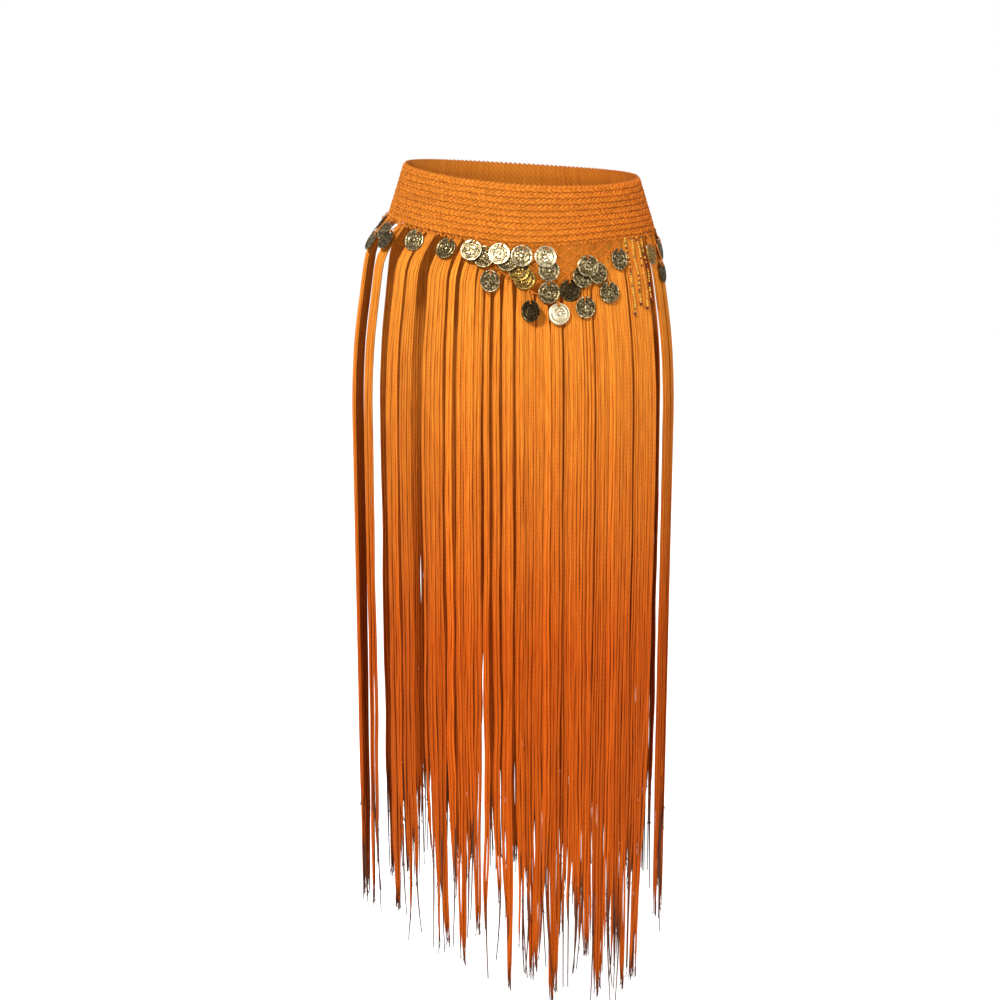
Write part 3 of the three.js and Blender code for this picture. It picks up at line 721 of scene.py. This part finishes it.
def lay_tubes(small, steps, runs):
    """Bends a copy of a tube along each run. A run is its middle line, the directions
    across and out of it, its half width and half thickness, and its shade."""
    shape = places_of(small)
    station = np.rint(shape[:, 2] * steps).astype(int)
    mesh = copies(small, len(runs))
    places = []
    shades = []
    for line, across, out, *sizes in runs:
        across, out = (np.broadcast_to(way, line.shape)[station] for way in (across, out))
        wide, thick, shade = (np.broadcast_to(size, len(line))[station] for size in sizes)
        sideways = shape[:, :1] * across * wide[:, None]
        places.append(line[station] + sideways - shape[:, 1:2] * out * thick[:, None])
        shades.append(shade)
    set_places(mesh, np.concatenate(places))
    set_values(mesh, np.concatenate(shades))
    return mesh


def yarn_run(root_angle, root, hem, offset, layer, lean, lock_draw, draw):
    """One yarn of a lock: its root is gathered in the knot, it falls over the hips and
    hangs straight, a little wavy with its lock, to a thin end."""
    share = np.linspace(0, 1, YARN_STEPS + 1) ** 1.3
    height = root + (hem - root) * share
    loose = np.clip(share / KNOT_SHARE, 0, 1)
    gather = np.clip((share - GATHER_START) / (1 - GATHER_START), 0, 1)
    wander = LOCK_WAVE * np.sin(2 * math.pi * (share * (LOCK_WAVES + lock_draw[0]) + lock_draw[1]))
    wander += YARN_WAVE * np.sin(2 * math.pi * (share * (YARN_WAVES + 2 * draw[2]) + draw[3]))
    wander *= 0.2 + share
    drift = (LOCK_DRIFT * lock_draw[2] + YARN_DRIFT * draw[4]) * share**1.5
    angle = root_angle + lean * share**5
    across, _, out = skin_frame(angle, height)
    sideways = offset * (0.5 + 0.5 * loose + 0.42 * share) * (1 - 0.55 * gather**2) + wander + drift
    outward = layer * loose + (LOCK_LIFT * lock_draw[3] + YARN_LIFT * draw[5]) * share
    line = skin(angle, height) + across * sideways[:, None] + out * outward[:, None]
    thin = np.clip((share - THIN_START) / (1 - THIN_START), 0, 1)
    taper = 1 - 0.1 * share - 0.6 * thin**2
    wide = YARN_WIDTH / 2 * taper * (0.7 + 0.3 * loose)
    thick = YARN_THICKNESS / 2 * taper * (1.25 - 0.25 * loose)
    # Each yarn is painted darker over its root in the knot: painted shade.
    shade = (1 + 0.1 * lock_draw[4] + 0.14 * draw[2]) * (0.8 + 0.2 * np.clip(share / 0.03, 0, 1))
    shade = shade * (1 - 0.55 * np.clip((share - WORN_START) / (1 - WORN_START), 0, 1))
    return line, across, out, wide, thick, shade


def fibre_run(end, draw, length, girth):
    """A loose fibre or a thin wisp at the end of a yarn, bent a little away from it."""
    share = np.linspace(-0.6, 1, FIBRE_STEPS + 1)
    line = end + np.outer(share * length, (0, 0, -1))
    bend = np.clip(share, 0, 1) ** 1.6
    line += np.outer(bend * length, (0.3 * draw[0], 0.3 * draw[1], 0))
    size = girth * (1 - 0.5 * np.clip(share, 0, 1))
    shade = FIBRE_SHADE + 0.1 * draw[2] - 0.5 * np.clip(share, -0.6, 0)
    return line, RIGHT, FRONT, size, size, shade


def locks_of(clumps):
    """Angle, width in degrees, hem and lean of each lock of a panel."""
    for first, last, locks, hem, lean in clumps:
        step = (last - first) / locks
        for lock in range(locks):
            yield first + step * (lock + 0.5), step, hem, lean


def is_long(angle, draw):
    """Whether nearly all yarns of a lock reach its end, as at LONG_LOCKS in front."""
    front = (angle + 180) % 360 - 180
    if abs(front) < FRONT_ANGLE:
        return min(abs(front - other) for other in LONG_LOCKS) < 0.5
    return 0.5 + 0.5 * draw < LONG_SHARE


def fringe_runs(on_net, clumps):
    """All yarns of a panel and the loose fibres and wisps at their ends."""
    yarns = []
    fibres = []
    hip = HIPS[-1]
    for angle, step, hem, lean in locks_of(clumps):
        turn = math.radians(angle)
        pitch = math.radians(step) * math.hypot(hip[1] * math.cos(turn), hip[2] * math.sin(turn))
        root = heading_top(angle, on_net) - HEADING_HEIGHT * 0.4
        end = hem + HEM_SCATTER * scatter(angle, 2)
        lock_draw = scatter(angle, np.arange(20, 26))
        ragged = RAGGED_REACH[0] if is_long(angle, lock_draw[0]) else RAGGED_REACH[1]
        crowding, spacing = LOCK_CROWDING, YARN_SPACING
        if BACK_ANGLE < angle < 360 - BACK_ANGLE:
            crowding, spacing = BACK_CROWDING, BACK_SPACING
            lock_draw[1:3] *= BACK_CALM
        count = max(2, round(pitch / spacing))
        for yarn in range(count):
            draw = scatter(angle + YARN_STEP * yarn, np.arange(3, 9))
            offset = (yarn - (count - 1) / 2) * min(pitch * crowding, LOCK_WIDTH) / count
            layer = YARN_LAYERS[yarn % 2]
            reach = RAGGED_MIDDLE + (1 - RAGGED_MIDDLE) * draw[3]
            if draw[1] > STRAGGLER_DRAW:
                reach *= STRAGGLER_REACH[0] + STRAGGLER_REACH[1] * draw[0]
            run = yarn_run(angle, root, end + ragged * reach, offset, layer, lean, lock_draw, draw)
            yarns.append(run)
            for fibre in range(FIBRES_PER_YARN):
                spread = scatter(angle + YARN_STEP * yarn + 0.11 * fibre, np.arange(9, 12))
                fibres.append(fibre_run(run[0][-1], spread, FIBRE_LENGTH, FIBRE_RADIUS))
        tip = run[0][-1]
        fibres.append(fibre_run(tip, 0.25 * lock_draw[1:4], tip[2] - end, WISP_RADIUS))
    return yarns, fibres


def join_meshes(name, meshes, material):
    """One object made of several meshes."""
    parts = [add_object(name, mesh, material) for mesh in meshes]
    with bpy.context.temp_override(active_object=parts[0], selected_editable_objects=parts):
        bpy.ops.object.join()
    return parts[0]


FRINGE_COLOURS = (
    # light and dark at the top, light and dark near the hem
    (0.9, 0.34, 0.035), (0.56, 0.13, 0.009), (0.7, 0.13, 0.006), (0.42, 0.052, 0.002),
)
FRINGE_FADE = ("Z", -0.06, -0.46)
fringe_yarn = yarn_material("fringe yarn", FRINGE_COLOURS, FRINGE_FADE, 150, 0.16, 0.4)
yarn_tube = tube("yarn", YARN_SIDES, YARN_STEPS)
fibre_tube = tube("fibre", FIBRE_SIDES, FIBRE_STEPS)

for name, on_net, clumps in FRINGE:
    yarns, fibres = fringe_runs(on_net, clumps)
    meshes = [lay_tubes(yarn_tube, YARN_STEPS, yarns), lay_tubes(fibre_tube, FIBRE_STEPS, fibres)]
    panel = join_meshes(f"yarn_{name}", meshes, fringe_yarn)
    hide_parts(f"fringe_{name}")
    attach(panel, "root")

# Coins
# Thin stamped brass coins with an antique finish: a milled rim, a ring of dots
# and a plain rosette stand up from a dark field. A small hole takes the yarn loop.
COIN_HOLE_RADIUS = 0.00135
COIN_HOLE_OFFSET = 0.0082
COIN_STEPS = 48
RIM_REACH = 0.0083
COIN_PROFILE = (
    # radius, height, in millimetres from the middle of the front to the middle of the back
    (0, 0.46), (1.1, 0.42), (1.6, 0.16), (2.2, 0.12), (6.1, 0.12), (6.4, 0.34), (6.8, 0.34), (7.1, 0.12),
    (9.2, 0.12), (9.6, 0.38), (10.2, 0.44), (10.8, 0.38), (11, 0.16), (11, -0.2), (10.7, -0.36),
    (9.8, -0.3), (9.5, -0.2), (0, -0.2),
)
COIN_FIELD = 0.00012
DOTS = 28
DOT_RING = 0.0081
DOT_RADIUS = 0.00052
PETALS = 10
PETAL_RING = 0.0041
PETAL_SIZE = (0.00085, 0.00155, 0.0003)
SHARP_EDGE = math.radians(50)


def coin_blank():
    """The plain round of a coin with its rim and rings, and the hole cut out."""
    bm = bmesh.new()
    corners = [bm.verts.new((radius / 1000, 0, height / 1000)) for radius, height in COIN_PROFILE]
    edges = [bm.edges.new(pair) for pair in zip(corners, corners[1:])]
    bmesh.ops.spin(
        bm, geom=corners + edges, cent=(0, 0, 0), axis=(0, 0, 1),
        angle=2 * math.pi, steps=COIN_STEPS, use_merge=True,
    )
    bmesh.ops.remove_doubles(bm, verts=bm.verts, dist=1e-6)
    bmesh.ops.recalc_face_normals(bm, faces=bm.faces)
    blank = bpy.data.objects.new("blank", finish_mesh(bm, "blank"))
    punch_bm = bmesh.new()
    bmesh.ops.create_cone(
        punch_bm, cap_ends=True, segments=16, radius1=COIN_HOLE_RADIUS, radius2=COIN_HOLE_RADIUS,
        depth=0.004, matrix=Matrix.Translation((0, COIN_HOLE_OFFSET, 0)),
    )
    punch = bpy.data.objects.new("punch", finish_mesh(punch_bm, "punch"))
    for tool in (blank, punch):
        scene.collection.objects.link(tool)
    cut = blank.modifiers.new("hole", "BOOLEAN")
    cut.operation = "DIFFERENCE"
    cut.solver = "EXACT"
    cut.object = punch
    result = applied_mesh(blank)
    for tool in (blank, punch):
        bpy.data.objects.remove(tool)
    return result


def coin_mesh():
    """A whole coin, facing +Z with its hole towards +Y."""
    bm = bmesh.new()
    bm.from_mesh(coin_blank())
    for dot in range(DOTS):
        turn = 2 * math.pi * (dot + 0.5) / DOTS
        place = Vector((DOT_RING * math.sin(turn), DOT_RING * math.cos(turn), COIN_FIELD))
        if (place - Vector((0, COIN_HOLE_OFFSET, 0))).length > COIN_HOLE_RADIUS + 0.0006:
            size = Matrix.Translation(place) @ Matrix.Diagonal((1, 1, 0.55, 1))
            bmesh.ops.create_icosphere(bm, subdivisions=1, radius=DOT_RADIUS, matrix=size)
    for petal in range(PETALS):
        turn = Matrix.Rotation(2 * math.pi * petal / PETALS, 4, "Z")
        place = Matrix.Translation((0, PETAL_RING, COIN_FIELD))
        size = Matrix.Diagonal((*PETAL_SIZE, 1))
        bmesh.ops.create_uvsphere(bm, u_segments=8, v_segments=5, radius=1, matrix=turn @ place @ size)
    mesh = finish_mesh(bm, "coin", smooth=True)
    mesh.set_sharp_from_angle(angle=SHARP_EDGE)
    return mesh


def coin_seat(node):
    """Middle of a coin, the direction to its hole and the way it faces, from its solid."""
    corners = np.unique(places_of(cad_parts[node].data), axis=0)
    far = np.linalg.norm(corners - corners.mean(axis=0), axis=1) > RIM_REACH
    middle = corners[far].mean(axis=0)
    up = unit(corners[~far].mean(axis=0) - middle)
    faces = np.linalg.svd(corners[far] - middle)[2][2]
    if faces[:2] @ middle[:2] < 0:
        faces = -faces
    return middle, up, faces


PATINA = (0.034, 0.023, 0.01)


def antique_material(name, bright, worn):
    """Brass with a dark brown patina in its hollows and scuffed bright high spots. Each coin's
    wear_and_painted_light value adds its random wear, and a painted highlight or painted shadow, to its
    colour.
    """
    material, shader = plain_material(name, worn, 0.34, {"Metallic": 1})
    tree = material.node_tree
    place = add_node(tree, "TexCoord")
    relief = add_node(tree, "Attribute", attribute_name="relief")
    wear_and_painted_light = add_node(tree, "Attribute", attribute_name="wear_and_painted_light")
    patina = add_node(tree, "TexNoise", {"Scale": 420, "Detail": 6, "Roughness": 0.62})
    high = add_node(tree, "Math", {1: 0.25, 2: -0.6}, operation="MULTIPLY_ADD")
    wear = add_node(tree, "Math", {1: 2.0}, operation="MULTIPLY_ADD")
    total = add_node(tree, "Math", operation="ADD")
    ramp = add_ramp(tree, (0.3, PATINA), (0.64, worn), (1, bright))
    gloss = add_node(tree, "MapRange", {"To Min": 0.55, "To Max": 0.27})
    pits = add_node(tree, "Bump", {"Strength": 0.25, "Distance": 0.0002})
    link_nodes(
        tree,
        (place, "Object", patina, "Vector"),
        (patina, "Fac", wear, 0),
        (relief, "Fac", high, 0),
        (high, 0, wear, 2),
        (wear, 0, total, 0),
        (wear_and_painted_light, "Fac", total, 1),
        (total, 0, ramp, "Fac"),
        (ramp, "Color", shader, "Base Color"),
        (total, 0, gloss, "Value"),
        (gloss, "Result", shader, "Roughness"),
        (patina, "Fac", pits, "Height"),
        (pits, "Normal", shader, "Normal"),
    )
    return material


COIN_PAINTED_LIGHT = {
    # painted highlight or painted shadow: how much brighter a coin is painted where it catches the lamp, or
    # darker where it lies in shade, where it isn't near the usual 0
    "net_coin_1": 0.16, "net_coin_3": 0.24, "net_coin_5": 0.16, "net_coin_8": 0.3, "net_coin_9": 0.08,
    "net_coin_11": 0.58, "net_coin_12": -0.26, "net_coin_20": -0.26, "row_coin_1": 0.2,
}
USUAL_POLISH = 0.07
COIN_SKEW = 0.07
COIN_DISH = 6


def hang_askew(middle, up, faces, number):
    """Turns a coin a little about its hole."""
    hole = middle + up * COIN_HOLE_OFFSET
    across = np.cross(up, faces)
    faces = unit(faces + COIN_SKEW * (scatter(number, 26) * across + scatter(number, 27) * up))
    up = unit(up - (up @ faces) * faces)
    return hole - up * COIN_HOLE_OFFSET, up, faces


# The worn colour of the brass is warmed towards brown: partly the brass's own colour, partly a painted
# reflection of the orange yarn.
pale_brass = antique_material("antique coin", (0.88, 0.74, 0.46), (0.21, 0.152, 0.064))
# The golden orange of these coins is a painted reflection of the orange yarn around them.
brass_with_painted_reflection = antique_material("coin with painted reflection", (0.8, 0.52, 0.14), (0.32, 0.18, 0.035))
COINS_WITH_PAINTED_REFLECTION = ("net_coin_6", "net_coin_7", "row_coin_1")
coin_shape = coin_mesh()
coin_points = places_of(coin_shape)
coin_relief = np.clip((np.abs(coin_points[:, 2]) - COIN_FIELD) / 0.0003, 0, 1)
coin_seats = {}
for row, count in (("net_coin", 20), ("row_coin", 22)):
    for number in range(1, count + 1):
        node = f"{row}_{number}"
        middle, up, faces = hang_askew(*coin_seat(node), number + count)
        coin_seats[node] = (middle, up, faces)
        across = np.cross(up, faces)
        dish = COIN_DISH * scatter(number, 12) * (coin_points[:, 0] ** 2 + coin_points[:, 1] ** 2)
        places = middle + np.outer(coin_points[:, 0], across) + np.outer(coin_points[:, 1], up)
        places += np.outer(coin_points[:, 2] + dish, faces)
        mesh = coin_shape.copy()
        set_places(mesh, places)
        # Coins outside the table get only a small random spread of wear; those in it get a painted
        # highlight or painted shadow.
        wear_and_painted_light = COIN_PAINTED_LIGHT.get(node, USUAL_POLISH * scatter(number, 13))
        set_values(mesh, coin_relief, "relief")
        set_values(mesh, np.full(len(places), wear_and_painted_light), "wear_and_painted_light")
        coin = add_object(f"stamped_{node}", mesh, brass_with_painted_reflection if node in COINS_WITH_PAINTED_REFLECTION else pale_brass)
        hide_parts(node)
        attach(coin, "root")

# Coin net
# An open crocheted net of twisted cord, worked down from a heading under the
# band to a point, with a knot at every crossing and a loop of cord for each coin.
CORD_SIDES = 5
CORD_STEPS = 12
PLY_RADIUS = 0.00062
PLY_OFFSET = 0.0005
PLY_PITCH = 0.005
KNOT_SIZE = (0.0034, 0.0026, 0.0032)
COIN_KNOTS = (
    # row and column of the knot that carries each coin of the net
    (0, 0), (1, 1), (0, 2), (1, 2), (0, 3), (2, 2), (4, 1), (0, 4), (3, 3), (7, 1),
    (9, 0), (5, 3), (5, 4), (1, 6), (4, 4), (2, 6), (3, 6), (1, 8), (4, 0), (7, 0),
)
CORD_SAG = 0.0006
CORD_SHADE = 0.95
LOOP_RADIUS = 0.00062
LOOP_STEPS = 24
LOOP_SHADE = 0.9


def net_angle(cell):
    """Angle round the skirt of a place along the net, counted in cells."""
    share = cell / NET_CELLS
    if share < 0.5:
        return NET_LEFT + (NET_TIP - NET_LEFT) * share * 2
    return NET_TIP + (NET_RIGHT - NET_TIP) * (share * 2 - 1)


def net_knot(row, column):
    """Place of a knot of the net."""
    angle = net_angle(column + row / 2)
    on_edge = row > 0 and (column == 0 or column == NET_CELLS - row)
    height = net_level(angle, row) - (NET_EDGE_DROP / 2 if on_edge else 0)
    return skin(angle, height)


def cord_runs(start, end, sag=0.0):
    """The two plies of a straight twisted cord between two points."""
    share = np.linspace(0, 1, CORD_STEPS + 1)
    way = end - start
    line = start + np.outer(share, way) - np.outer(np.sin(math.pi * share) * sag, (0, 0, 1))
    along = unit(way)
    side = unit(np.cross(along, (0, 0, 1.0)) + 1e-6)
    other = np.cross(side, along)
    runs = []
    for ply in range(2):
        turn = 2 * math.pi * (share * np.linalg.norm(way) / PLY_PITCH + ply / 2)
        offset = np.outer(np.cos(turn), side) + np.outer(np.sin(turn), other)
        runs.append((line + offset * PLY_OFFSET, side, other, PLY_RADIUS, PLY_RADIUS, CORD_SHADE))
    return runs


def smooth_loop(points):
    """A closed curve through a few points, and its direction all along."""
    points = np.asarray(points)
    count = len(points)
    share = np.linspace(0, count, LOOP_STEPS + 1)
    index = np.floor(share).astype(int) % count
    t = (share - np.floor(share))[:, None]
    before, here, after, beyond = (points[(index + shift) % count] for shift in (-1, 0, 1, 2))
    line = 0.5 * (
        2 * here + (after - before) * t
        + (2 * before - 5 * here + 4 * after - beyond) * t**2
        + (3 * here - before - 3 * after + beyond) * t**3
    )
    along = unit(np.gradient(line, axis=0))
    return line, along


def loop_run(hole, up, faces, anchor):
    """A yarn loop that comes off its anchor, passes through a coin's hole and closes."""
    points = (
        hole + faces * 0.0012, hole + up * 0.0034 + faces * 0.0011,
        anchor + faces * 0.0012 + up * 0.0004, anchor - faces * 0.0006, hole - faces * 0.0011,
    )
    line, along = smooth_loop(points)
    side = unit(np.cross(up, faces))
    return line, side, unit(np.cross(side, along)), LOOP_RADIUS, LOOP_RADIUS, LOOP_SHADE


def lay_knots(places, shades):
    """A small round knot at each place."""
    small = grain(KNOT_SIZE)
    shape = places_of(small)
    mesh = copies(small, len(places))
    set_places(mesh, np.asarray(places)[:, None] + shape[None])
    set_values(mesh, np.repeat(shades, len(shape)))
    return mesh


cords = []
knots = []
for row in range(NET_CELLS + 1):
    for column in range(NET_CELLS + 1 - row):
        knots.append(net_knot(row, column))
        if row < NET_CELLS and column > 0:
            cords += cord_runs(net_knot(row, column), net_knot(row + 1, column - 1), CORD_SAG)
        if row < NET_CELLS and column < NET_CELLS - row:
            cords += cord_runs(net_knot(row, column), net_knot(row + 1, column), CORD_SAG)
        if row == 0 and column < NET_CELLS:
            cords += cord_runs(net_knot(0, column), net_knot(0, column + 1))
knots = np.array(knots)

net_loops = []
row_loops = []
for node, (middle, up, faces) in coin_seats.items():
    hole = middle + up * COIN_HOLE_OFFSET
    if node.startswith("net"):
        row, column = COIN_KNOTS[len(net_loops)]
        net_loops.append(loop_run(hole, up, faces, net_knot(row, column)))
    else:
        angle = np.degrees(np.arctan2(hole[0] / BAND_FOOT[0], -hole[1] / BAND_FOOT[1]))
        anchor = skin(angle, band_level(angle, 1) - SEAM_GAP - HEADING_HEIGHT / 2)
        row_loops.append(loop_run(hole, up, faces, anchor))

net_yarn = yarn_material("net cord", BAND_COLOURS, BAND_SIDE_SHADE, 6, 0.3, 0.5)
cord_tube = tube("cord", CORD_SIDES, CORD_STEPS)
loop_tube = tube("loop", CORD_SIDES, LOOP_STEPS)
net_meshes = [
    lay_tubes(cord_tube, CORD_STEPS, cords),
    lay_tubes(loop_tube, LOOP_STEPS, net_loops),
    lay_knots(knots, 0.95 + 0.12 * scatter(np.arange(len(knots)), 14)),
]
crochet_net = join_meshes("crochet_net", net_meshes, net_yarn)
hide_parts("coin_net")
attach(crochet_net, "root")

# Headings
# Under the band runs a crocheted chain that the fringe is knotted over, one knot
# for each lock, and that carries the loops of the coins outside the net.
HEADING_LINKS = 190
HEADING_SIZE = (0.0024, 0.0022, 0.0058)
HEADING_SLANT = 38
HEADING_DROP = 0.0022
HEADING_OUT = 0.0006


def heading_links():
    """Slanted links of the chain under the foot of the band."""
    index = np.arange(HEADING_LINKS)
    angles = index * 360 / HEADING_LINKS
    slants = np.where(index % 2 == 0, HEADING_SLANT, -HEADING_SLANT) + scatter(index, 15) * 6
    shares = np.full(HEADING_LINKS, 1 + HEADING_DROP / BAND_HEIGHT)
    outs = np.full(HEADING_LINKS, HEADING_OUT)
    shades = 0.85 + scatter(index, 16) * 0.12
    return lay_grains(HEADING_SIZE, angles, shares, outs, slants, shades)


lock_knots = []
for _, on_net, clumps in FRINGE:
    for angle, *_ in locks_of(clumps):
        height = heading_top(angle, on_net) - HEADING_HEIGHT * 0.5
        lock_knots.append(skin(angle, height) + skin_frame(angle, height)[2] * HEADING_OUT)
heading_meshes = [
    heading_links(),
    lay_tubes(loop_tube, LOOP_STEPS, row_loops),
    lay_knots(lock_knots, 0.9 + 0.1 * scatter(np.arange(len(lock_knots)), 17)),
]
heading = join_meshes("fringe_heading", heading_meshes, net_yarn)
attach(heading, "root")

# Bead strings
# Four threads of small glass beads hang over the fringe beside the net, in
# amber, gold, olive and dark red, each ending in a dark bead.
BEAD_STRINGS = (
    # angle, length
    (47.4, 0.080), (51.4, 0.071), (55.4, 0.076), (58.6, 0.068),
)
BEAD_SIZE = 0.0024
END_BEAD = 1.35
DARK_PICK = 0.05
BEAD_LIFT = (0.0026, 0.0038)
BEAD_SWAY, BEAD_WAVES = 0.0007, 160
THREAD_RADIUS = 0.00035
THREAD_SHADE = 0.1
BEAD_COLOURS = (
    # share of the beads that come before it, colour
    (0, (0.12, 0.012, 0.006)), (0.14, (0.72, 0.28, 0.02)), (0.5, (0.72, 0.42, 0.05)),
    (0.88, (0.17, 0.13, 0.03)),
)


def bead_places(angle, length):
    """Middles of the beads of one string."""
    count = round(length / BEAD_SIZE * 0.98)
    drop = (np.arange(count) + 1.5) * length / (count + 1)
    height = band_level(angle, 1) - drop
    across, _, out = skin_frame(angle, height)
    lift = np.interp(drop, (0, 0.01), BEAD_LIFT)
    sway = BEAD_SWAY * np.sin(drop * BEAD_WAVES + angle)
    return skin(angle, height) + out * lift[:, None] + across * sway[:, None]


def bead_material():
    """Glossy glass, in a colour picked by each bead's own number."""
    material, shader = plain_material("glass bead", (0.4, 0.1, 0.02), 0.12, {"Coat Weight": 0.4})
    tree = material.node_tree
    pick = add_node(tree, "Attribute", attribute_name="shade")
    ramp = add_ramp(tree, *BEAD_COLOURS)
    ramp.color_ramp.interpolation = "CONSTANT"
    link_nodes(tree, (pick, "Fac", ramp, "Fac"), (ramp, "Color", shader, "Base Color"))
    return material


bead_points = [bead_places(angle, length) for angle, length in BEAD_STRINGS]
threads = []
for points in bead_points:
    steps = np.linspace(0, len(points) - 1, LOOP_STEPS + 1)
    line = np.stack([np.interp(steps, np.arange(len(points)), column) for column in points.T], axis=1)
    threads.append((line, RIGHT, FRONT, THREAD_RADIUS, THREAD_RADIUS, THREAD_SHADE))
bead_bm = bmesh.new()
bead_bm.loops.layers.uv.new("UVMap")
bmesh.ops.create_uvsphere(bead_bm, u_segments=8, v_segments=6, radius=BEAD_SIZE / 2, calc_uvs=True)
bead = finish_mesh(bead_bm, "bead", smooth=True)
bead_shape = places_of(bead)
all_beads = np.concatenate(bead_points)
bead_pick = 0.5 + 0.5 * scatter(np.arange(len(all_beads)), 18)
bead_size = 0.9 + 0.16 * scatter(np.arange(len(all_beads)), 19)
last = np.cumsum([len(points) for points in bead_points]) - 1
bead_pick[last] = DARK_PICK
bead_size[last] = END_BEAD
bead_mesh = copies(bead, len(all_beads))
set_places(bead_mesh, all_beads[:, None] + bead_shape[None] * bead_size[:, None, None])
set_values(bead_mesh, np.repeat(bead_pick, len(bead_shape)))
bead_strings = join_meshes(
    "glass_bead_strings", [bead_mesh, lay_tubes(loop_tube, LOOP_STEPS, threads)], bead_material(),
)
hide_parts("bead_strings")
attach(bead_strings, "root")
